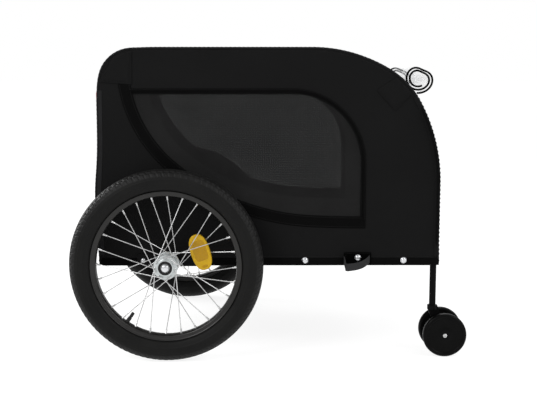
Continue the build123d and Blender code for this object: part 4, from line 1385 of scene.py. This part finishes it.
def on_roll(turn, along, lift):
    """A point of the rolled film: its middle + radius x (cos a, sin a), at a place along it."""
    turn, along, lift = np.broadcast_arrays(turn, along, lift)
    radius = roll_radius(turn, along) + lift
    angle = 2 * np.pi * turn - ROLL_START
    return np.stack([roll_x + radius * np.cos(angle), along, roll_z + radius * np.sin(angle)], -1)


turn = np.linspace(0, ROLL_TURNS, 300)[:, None]
along = np.linspace(-roll_half + 0.001, roll_half - 0.001, 70)
places = np.stack(np.broadcast_arrays(turn * 0.12, along), -1)
outwards = (on_roll(turn, along, 0.001) - on_roll(turn, along, 0.0))[0, 0]
rolled = piece("rain_cover_roll", skin(on_roll(turn, along, 0.0), places), film.material, "chassis",
               outwards)
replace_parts(rolled, "rain_cover")
arc_length = float(travelled(on_roll(turn[:, 0], 0.0, 0.0))[-1])


def wound(turn, middle, section):
    """A band wound round the roll: a section of (lift, along) carried through some of its turns."""
    grid = np.stack([on_roll(turn, middle + w, lift) for lift, w in section], 1)
    return grid, np.stack(np.broadcast_arrays(0.2 * turn[:, None], section[:, 1]), -1)


BINDING_HALF, BINDING_RISE = 0.0044, 0.0022
binding_section = round_section(1.0, 8) * (BINDING_RISE, BINDING_HALF)
bindings = [wound(np.linspace(0, 2.1, 200), sign * (roll_half - BINDING_HALF), binding_section)[0]
            for sign in (-1, 1)]
cover_binding = piece("rain_cover_binding",
                      joined([(*capped(grid), grid.reshape(-1, 3)[:, 1:]) for grid in bindings]),
                      cover_tape, "chassis")

TIE_PLACES, TIE_HALF = (-0.095, 0.095), 0.010
tie_section = mm((0.6, -1), (1.7, -0.96), (1.7, 0.96), (0.6, 1), (0.4, 0.96), (0.4, -0.96))
tie_section = tie_section * (1, 1000 * TIE_HALF)
ties = [wound(np.linspace(0.03, 0.73, 120), middle, tie_section) for middle in TIE_PLACES]
ties = joined([(*capped(grid), places.reshape(-1, 2)) for grid, places in ties])
ties = piece("cover_tie_straps", ties, film.material, "chassis")
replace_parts(ties, "cover_ties")

# ------------------------------------------------------------------ axles and main wheels
# Each wheel turns on a stub axle that a black steel bracket bolts to the frame. The tyre is a
# block-tread pneumatic on a hooked rim, laced three-cross to an alloy hub.
WHEEL_Z, WHEEL_Y = 0.200, 0.290
bracket_paint = powder_coat("bracket_paint", (0.0030, 0.0030, 0.0031), 0.46, 0.07)
repaint(bracket_paint, "axle_bracket_right", "axle_bracket_left")

rubber = mottled("tyre_rubber", (0.0064, 0.0064, 0.0063), 0.52, (1300, 4, 0.00022, 0.6),
                 (22, 5, 0.35, 0.65), [(0.0054, 0.0054, 0.0053), (0.0080, 0.0079, 0.0075)],
                 (0.46, 0.62), Specular_IOR_Level=0.12)
tread_rubber = mottled("tread_rubber", (0.0080, 0.0080, 0.0079), 0.52, (900, 4, 0.0003, 0.7),
                       (90, 5, 0.3, 0.7), [(0.0047, 0.0047, 0.0046), (0.0092, 0.0091, 0.0088)],
                       Specular_IOR_Level=0.16)
rim_coat = mottled("rim_coat", (0.0105, 0.0098, 0.0090), 0.36, None, (60, 4, 0.3, 0.7),
                   [(0.0080, 0.0075, 0.0069), (0.0130, 0.0122, 0.0112)], (0.28, 0.42),
                   Specular_IOR_Level=0.36)
spoke_steel = mottled("spoke_steel", (0.58, 0.58, 0.58), 0.30, None, (240, 3, 0.35, 0.65),
                      [(0.50, 0.50, 0.50), (0.66, 0.66, 0.66)], (0.24, 0.38), Metallic=0.85)
hub_alloy = mottled("hub_alloy", (0.56, 0.59, 0.59), 0.42, (900, 4, 0.0001, 0.5),
                    (70, 5, 0.3, 0.7), [(0.47, 0.50, 0.50), (0.64, 0.67, 0.67)], (0.34, 0.52),
                    Metallic=0.75)
seal_rubber = mottled("seal_rubber", (0.006, 0.006, 0.006), 0.5, (1500, 3, 0.00006, 0.5),
                      Specular_IOR_Level=0.3)
BLOCKS, TREAD_EDGE = 100, 64


def tyre_section():
    """The tyre's section from bead to bead, as (degrees from the crown, relief).

    Relief is the ribs moulded round the sidewall: half a millimetre high, at three angles.
    """
    tread = 0, 4, 8, 10, 14, 16, 22, 28, 32, 34, 38, 40, 46, 52, 57, 60, 63
    wall = (66, 70, 74, 78, 80, 82, 84, 86, 92, 98, 104, 106, 108, 110, 116, 124, 130, 132, 134,
            136, 140, 145)
    half = np.r_[tread, wall]
    angle = np.r_[-half[:0:-1], half].astype(float)
    return angle, 0.0005 * sum(bell(np.abs(angle), rib, 1.8) for rib in (82, 107, 133))


def tread_depth(turn, angle):
    """How deep the tread is cut: one rib round the crown, then two rows of blocks on each side.

    The cross grooves are 1.4 mm deep, at every pitch of the row, and the rows are set half a pitch
    apart. The outer row's blocks are split again by a fine sipe.
    """
    steep = np.abs(angle)
    ring_groove = bell(steep, 12, 2.4) + bell(steep, 36, 2.2)
    inner_row = (steep > 13) & (steep < 35)
    outer_row = (steep > 37) & (steep < TREAD_EDGE)
    slant = turn * BLOCKS / (2 * np.pi) + np.sign(angle) * steep / 90
    phase = np.where(outer_row, slant + 0.5, slant) % 1.0
    cross_groove = bell(phase, 0.5, 0.13) * (inner_row | outer_row)
    sipe = 0.35 * bell((phase + 0.5) % 1.0, 0.5, 0.08) * outer_row
    return 0.0014 * np.maximum(np.maximum(ring_groove, cross_groove), sipe)


def tyre_points(centre, sign):
    """Grid round the wheel and round the section, out over the tread and back inside the casing.

    A point stands at the ring of the casing + its height x (cos a, sin a), and the beads are
    tucked in to the rim.
    """
    ring_radius, section, casing, bead_half = 0.177, 0.023, 0.0190, 0.0112
    bore, inner_bead, inner_half = 0.1560, 0.166, 0.0106
    angle, relief = tyre_section()
    turn = np.linspace(0, 2 * np.pi, BLOCKS * 7, endpoint=False)[:, None]
    height = section - tread_depth(turn, angle) + relief
    steep, lean = np.abs(angle), np.radians(angle)
    radius = ring_radius + height * np.cos(lean) - 0.0027 * fade(steep, 116, 20)
    across = height * np.sin(lean)
    across = across + fade(steep, 128, 17) ** 1.5 * (np.sign(angle) * bead_half - across)
    lean = np.radians(np.linspace(140, -140, 12)) + 0 * turn
    inside = np.maximum(ring_radius + casing * np.cos(lean), bore)
    inner_across = casing * np.sin(lean)
    narrow = np.clip(inner_across, -inner_half, inner_half)
    inner_across = np.where(inside < inner_bead, narrow, inner_across)
    radius = np.concatenate([radius, inside], 1)
    across = np.concatenate([across, inner_across], 1)
    round_axle = [radius * np.cos(turn), sign * across, radius * np.sin(turn)]
    return np.stack(round_axle, -1) + centre


# Half sections of the rim, as (across, radius), and of the hub, as (radius, across), both from the
# outside in.
RIM_HALF = mm(
    (0, 144.5), (6, 144.6), (9.8, 145.2), (11.8, 146.6), (12.6, 148.6), (12.8, 151.2), (12.8, 153),
    (13.4, 153.8), (14, 154.6), (13.8, 155.4), (12.8, 155.8), (11.8, 155.4), (11.1, 154.3),
    (11.2, 152.8), (10.8, 150.2), (9, 148.2), (5, 146.7), (0, 146.5),
)
HUB_BORE = 6.1
HUB_HALF = mm(
    (HUB_BORE, 28.5), (8.9, 28.5), (9.2, 27.6), (13, 27.6), (13.4, 28.6), (15.8, 29), (16.8, 28.6),
    (17, 27.6), (17.1, 26.2), (18.2, 25.4), (19.6, 25), (22.2, 24.7), (24, 24.6), (24.9, 24),
    (25, 23.2), (24.8, 22), (23.8, 21.5), (20, 21.5), (15, 21), (13.4, 19.6), (12.8, 16),
    (12.2, 10), (12.2, 0),
)
rim_loop = np.concatenate([RIM_HALF, RIM_HALF[::-1][1:-1] * (-1, 1)])[:, ::-1]
hub_loop = np.concatenate([HUB_HALF, HUB_HALF[::-1][1:] * (1, -1), mm((HUB_BORE, 0))])
HUB_SEAL = mm((8.7, 28.4), (9.8, 29), (11.8, 29.3), (14.1, 29.3), (14.6, 28.8), (14.6, 27.8),
              (8.7, 27.8))
SPOKES, CROSSES, FIRST_SPOKE = 28, 3, 88.7
SPOKE_HEAD = mm((0.4, 0.8), (1.3, 0.6), (1.8, 0.1), (1.8, -0.4), (1.2, -0.7))
NIPPLE = mm((1.1, -9.4), (1.6, -9), (1.9, -8), (1.9, -3), (2.4, -2.2), (2.6, -0.4))


def on_wheel(sign, radius, degrees, offset):
    """A point on a wheel, its offset measured outboard of the wheel's middle plane."""
    x, z = arc((AXLE_X, WHEEL_Z), radius, 90 - degrees, 90 - degrees, 1)[0]
    return np.array([x, sign * (WHEEL_Y + offset), z])


def spokes_of(sign):
    """All spokes of a wheel: each a headed elbow through its flange, a straight run, and a nipple
    in the rim.

    Spokes go to the two flanges in turn. On each flange they lead outside it and trail inside it
    in turn, and each crosses three others.
    """
    hole, rim, face, plate, elbow = 0.0210, 0.1445, 0.0230, 0.0015, 0.0016
    flange_radius, clear, head_height = 0.0250, plate + 0.0013, plate + 0.0012
    clears_flange = np.sqrt((flange_radius**2 - hole**2) / (rim**2 - hole**2))
    parts = []
    for index in range(SPOKES):
        flange, outside = (1 if index % 2 else -1), index // 2 % 2
        way = 1 if outside else -1
        rim_angle = FIRST_SPOKE + index * 360 / SPOKES
        hub_angle = rim_angle + way * CROSSES * 720 / SPOKES
        start = (face + clear) / (1 - clears_flange) if outside else face - clear
        leaving = on_wheel(sign, hole, hub_angle, flange * start)
        head = on_wheel(sign, hole, hub_angle, flange * (face - way * head_height))
        seat = on_wheel(sign, rim, rim_angle, 0)
        ahead = unit(seat - leaving)
        bend = leaving - np.array([0, sign * flange * way * elbow, 0])
        out = leaving + ahead * elbow
        path = np.array([head, bend, out, (out + seat) / 2, seat - ahead * 0.0004])
        wire = swept(path, round_section(0.00095, 8), (0.31, 0.11, 0.94))
        parts += [capped(wire), turned_solid(SPOKE_HEAD, head, head - bend, 10),
                  turned_solid(NIPPLE, seat, ahead, 10)]
    return joined(parts)


amber_edge = mottled("amber_edge", (0.54, 0.32, 0.008), 0.28, (500, 3, 0.00006, 0.4),
                     (60, 3, 0.3, 0.7), [(0.50, 0.295, 0.006), (0.57, 0.345, 0.010)],
                     Specular_IOR_Level=0.2)
amber_prism = prism_lens("amber_prism", (0.475, 0.258, 0.006), 0.0021, 0.2)
cap_black = mottled("cap_black", (0.0045, 0.0045, 0.0045), 0.42, (900, 3, 0.00008, 0.4),
                    Specular_IOR_Level=0.35)
# Valve: a rubber-coated stem with a ribbed cap, as (radius, distance from its tip).
VALVE_ANGLE, REFLECTOR_LEAN = -125.0, 18.0
VALVE = mm(
    (1.2, 0), (3, 0.4), (3.5, 1.2), (3.5, 2), (3.2, 2.4), (3.5, 2.8), (3.5, 3.6), (3.2, 4),
    (3.5, 4.4), (3.6, 9.8), (2.8, 10.2), (2.7, 11), (3.8, 11.6), (4.2, 15), (4.3, 27.2),
    (1.2, 27.4),
)

for side, sign in SIDES:
    body = f"wheel_{side}"
    centre, axis = np.array([AXLE_X, sign * WHEEL_Y, WHEEL_Z]), (0, sign, 0)
    solid = looped(tyre_points(centre, sign))
    tyre = piece(f"tyre_casing_{side}", solid, rubber, body, crease=50)
    tyre.data.materials.append(tread_rubber)
    steep = np.abs(np.r_[tyre_section()[0], np.full(12, 180)])
    on_tread = steep[(solid[1] % len(steep)).min(1)] < TREAD_EDGE
    tyre.data.polygons.foreach_set("material_index", on_tread.astype(np.int32))
    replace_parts(tyre, f"tyre_{side}")
    rim_hoop = looped(turned(rim_loop, centre, axis, 240))
    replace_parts(piece(f"rim_hoop_{side}", rim_hoop, rim_coat, body), f"rim_{side}")
    spoke_set = piece(f"spoke_set_{side}", spokes_of(sign), spoke_steel, body)
    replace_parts(spoke_set, f"spokes_{side}")
    hub = looped(turned(hub_loop, centre, axis, 96))
    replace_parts(piece(f"hub_shell_{side}", hub, hub_alloy, body), f"hub_{side}")
    seals = [looped(turned(HUB_SEAL * (1, way), centre, axis, 64)) for way in (1, -1)]
    piece(f"hub_seals_{side}", joined(seals), seal_rubber, body)

    tip, rooted = (on_wheel(sign, radius, VALVE_ANGLE, 0) for radius in (0.1210, 0.1445))
    stem = turned_solid(VALVE, tip, rooted - tip, 24)
    valve = piece(f"valve_stem_{side}", stem, cap_black, body)
    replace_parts(valve, f"valve_{side}")

    # Reflector: an amber oval clipped between the spokes, with a fine prism panel in its middle
    # and a small one below it.
    low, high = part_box(f"spoke_reflector_{side}")
    thick = high[1] - low[1]
    root = np.array((low + high) / 2)
    root[1] = sign * min(abs(low[1]), abs(high[1]))
    lean = np.radians(90 + REFLECTOR_LEAN)
    along = np.array([np.cos(lean), 0, np.sin(lean)])
    shell = lens(superellipse(0.0755, 0.0395, 2.5), root, axis, along,
                 (0, 0.0006, thick - 0.0016, thick - 0.0005, thick - 0.0004),
                 mm(1, 0, 0, 1.2, 3))
    amber = piece(f"reflector_shell_{side}", shell, amber_edge, body)
    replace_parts(amber, f"spoke_reflector_{side}")
    panels = [
        lens(superellipse(0.043, 0.0275, 5), root + along * 0.0035, axis, along,
             thick + mm(-1.2, -0.2, 0), mm(0, 0.2, 1.2)),
        lens(superellipse(0.0050, 0.0130, 2.4), root - along * 0.0300, axis, along,
             thick + mm(-1.2, -0.1, 0.1), mm(0, 0.2, 1)),
    ]
    piece(f"reflector_prism_{side}", joined(panels), amber_prism, body)

    # Axle: a bright stub with a domed head outside the hub.
    near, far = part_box(f"axle_{side}")
    inner_y, outer_y = sorted((abs(near[1]), abs(far[1])))
    head = mm((1, 0), (3.8, -0.1), (6.4, -1), (7.8, -2.6), (8.2, -4.2), (8.2, -6), (6, -6.2))
    stub = np.concatenate([head + (0, outer_y), [(0.0060, inner_y), (0.0010, inner_y)]])
    stub = turned_solid(stub, (AXLE_X, 0, WHEEL_Z), axis, 48)
    stub = piece(f"axle_stub_{side}", stub, bright_zinc, "chassis")
    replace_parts(stub, f"axle_{side}")

# ------------------------------------------------------------------ parking caster
# A round leg drops out of the right front hoop foot, and its spring button shows there. The caster
# swivels below it on a pin, with two moulded wheels held by a bright bolt.
leg_paint = powder_coat("leg_paint", (0.0038, 0.0038, 0.0039), 0.60, 0.05)
repaint(leg_paint, "caster_leg")
leg_low, leg_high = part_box("caster_leg")
leg_x, leg_y = ((leg_low + leg_high) / 2)[:2]
leg_radius = (leg_high[0] - leg_low[0]) / 2
button = mm((0.4, 1.6), (1.8, 1.3), (2.4, 0.4), (2.4, -0.6), (0.4, -0.6))
button = turned_solid(button, (leg_x, leg_y + leg_radius, leg_low[2] + 0.066), (0, 1, 0), 24)
piece("leg_button", button, bright_zinc, "chassis")

caster_plastic = mottled("caster_plastic", (0.0036, 0.0036, 0.0037), 0.50, (700, 3, 0.00012, 0.5),
                         (35, 4, 0.35, 0.65), [(0.0030, 0.0030, 0.0031), (0.0042, 0.0042, 0.0043)],
                         (0.40, 0.56), Specular_IOR_Level=0.06)
repaint(caster_plastic, "caster_body")
caster_tread = mottled("caster_tread", (0.0026, 0.0026, 0.0026), 0.32, (900, 3, 0.00015, 0.5),
                       (50, 5, 0.3, 0.7), [(0.0020, 0.0020, 0.0020), (0.0034, 0.0034, 0.0033)],
                       (0.28, 0.42), Specular_IOR_Level=0.06)
pair_low, pair_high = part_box("caster_wheels")
pair_middle = (pair_low + pair_high) / 2
pair_radius, pair_half = ((pair_high - pair_low) / 2)[:2]

# One caster wheel, as (radius, distance from the pair's outer face): its hub, then a rounded tread
# and a raised ring inside its edge, given from its own radius, then a dished face and a boss.
inner_hub = mm((4.1, -17), (11, -17), (13, -16))
outer_ring = mm(
    (-8, -15.8), (-5, -16.8), (-2.2, -16), (-0.4, -13.2), (0, -8.5), (-0.4, -4.2), (-2, -1.4),
    (-4.6, -0.3), (-6.6, 0), (-8.2, -0.7), (-9, -2), (-12, -2.6), (-26, -2.4),
)
boss = mm((13.5, -2), (12, -1), (10, -0.6), (6.2, -0.8), (5.8, -1.6), (4.1, -1.8))
disc = np.concatenate([inner_hub, outer_ring + (pair_radius, 0), boss]) + (0, pair_half)
discs = [looped(turned(disc * (1, way), pair_middle, (0, 1, 0), 96)) for way in (1, -1)]
pair = piece("caster_wheel_discs", joined(discs), caster_tread, "caster_wheel_pair")
sleeve_end = pair_half - 0.0172
sleeve = np.array([(0.0041, sleeve_end), (0.0064, sleeve_end), (0.0064, -sleeve_end),
                   (0.0041, -sleeve_end)])
sleeve = looped(turned(sleeve, pair_middle, (0, 1, 0), 32))
piece("caster_sleeve", sleeve, spoke_steel, "caster_wheel_pair")
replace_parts(pair, "caster_wheels")
recess = mm((0.4, -1.8), (1.9, -1.8), (2.3, 0), (3.6, -0.3), (4.6, -1), (4.6, -2.2), (0.4, -2.2))
recess = recess + (0, pair_half)
bolts = [turned_solid(recess * (1, way), pair_middle, (0, 1, 0), 6) for way in (-1, 1)]
piece("caster_bolt_heads", joined(bolts), spoke_steel, "caster_wheel_pair")
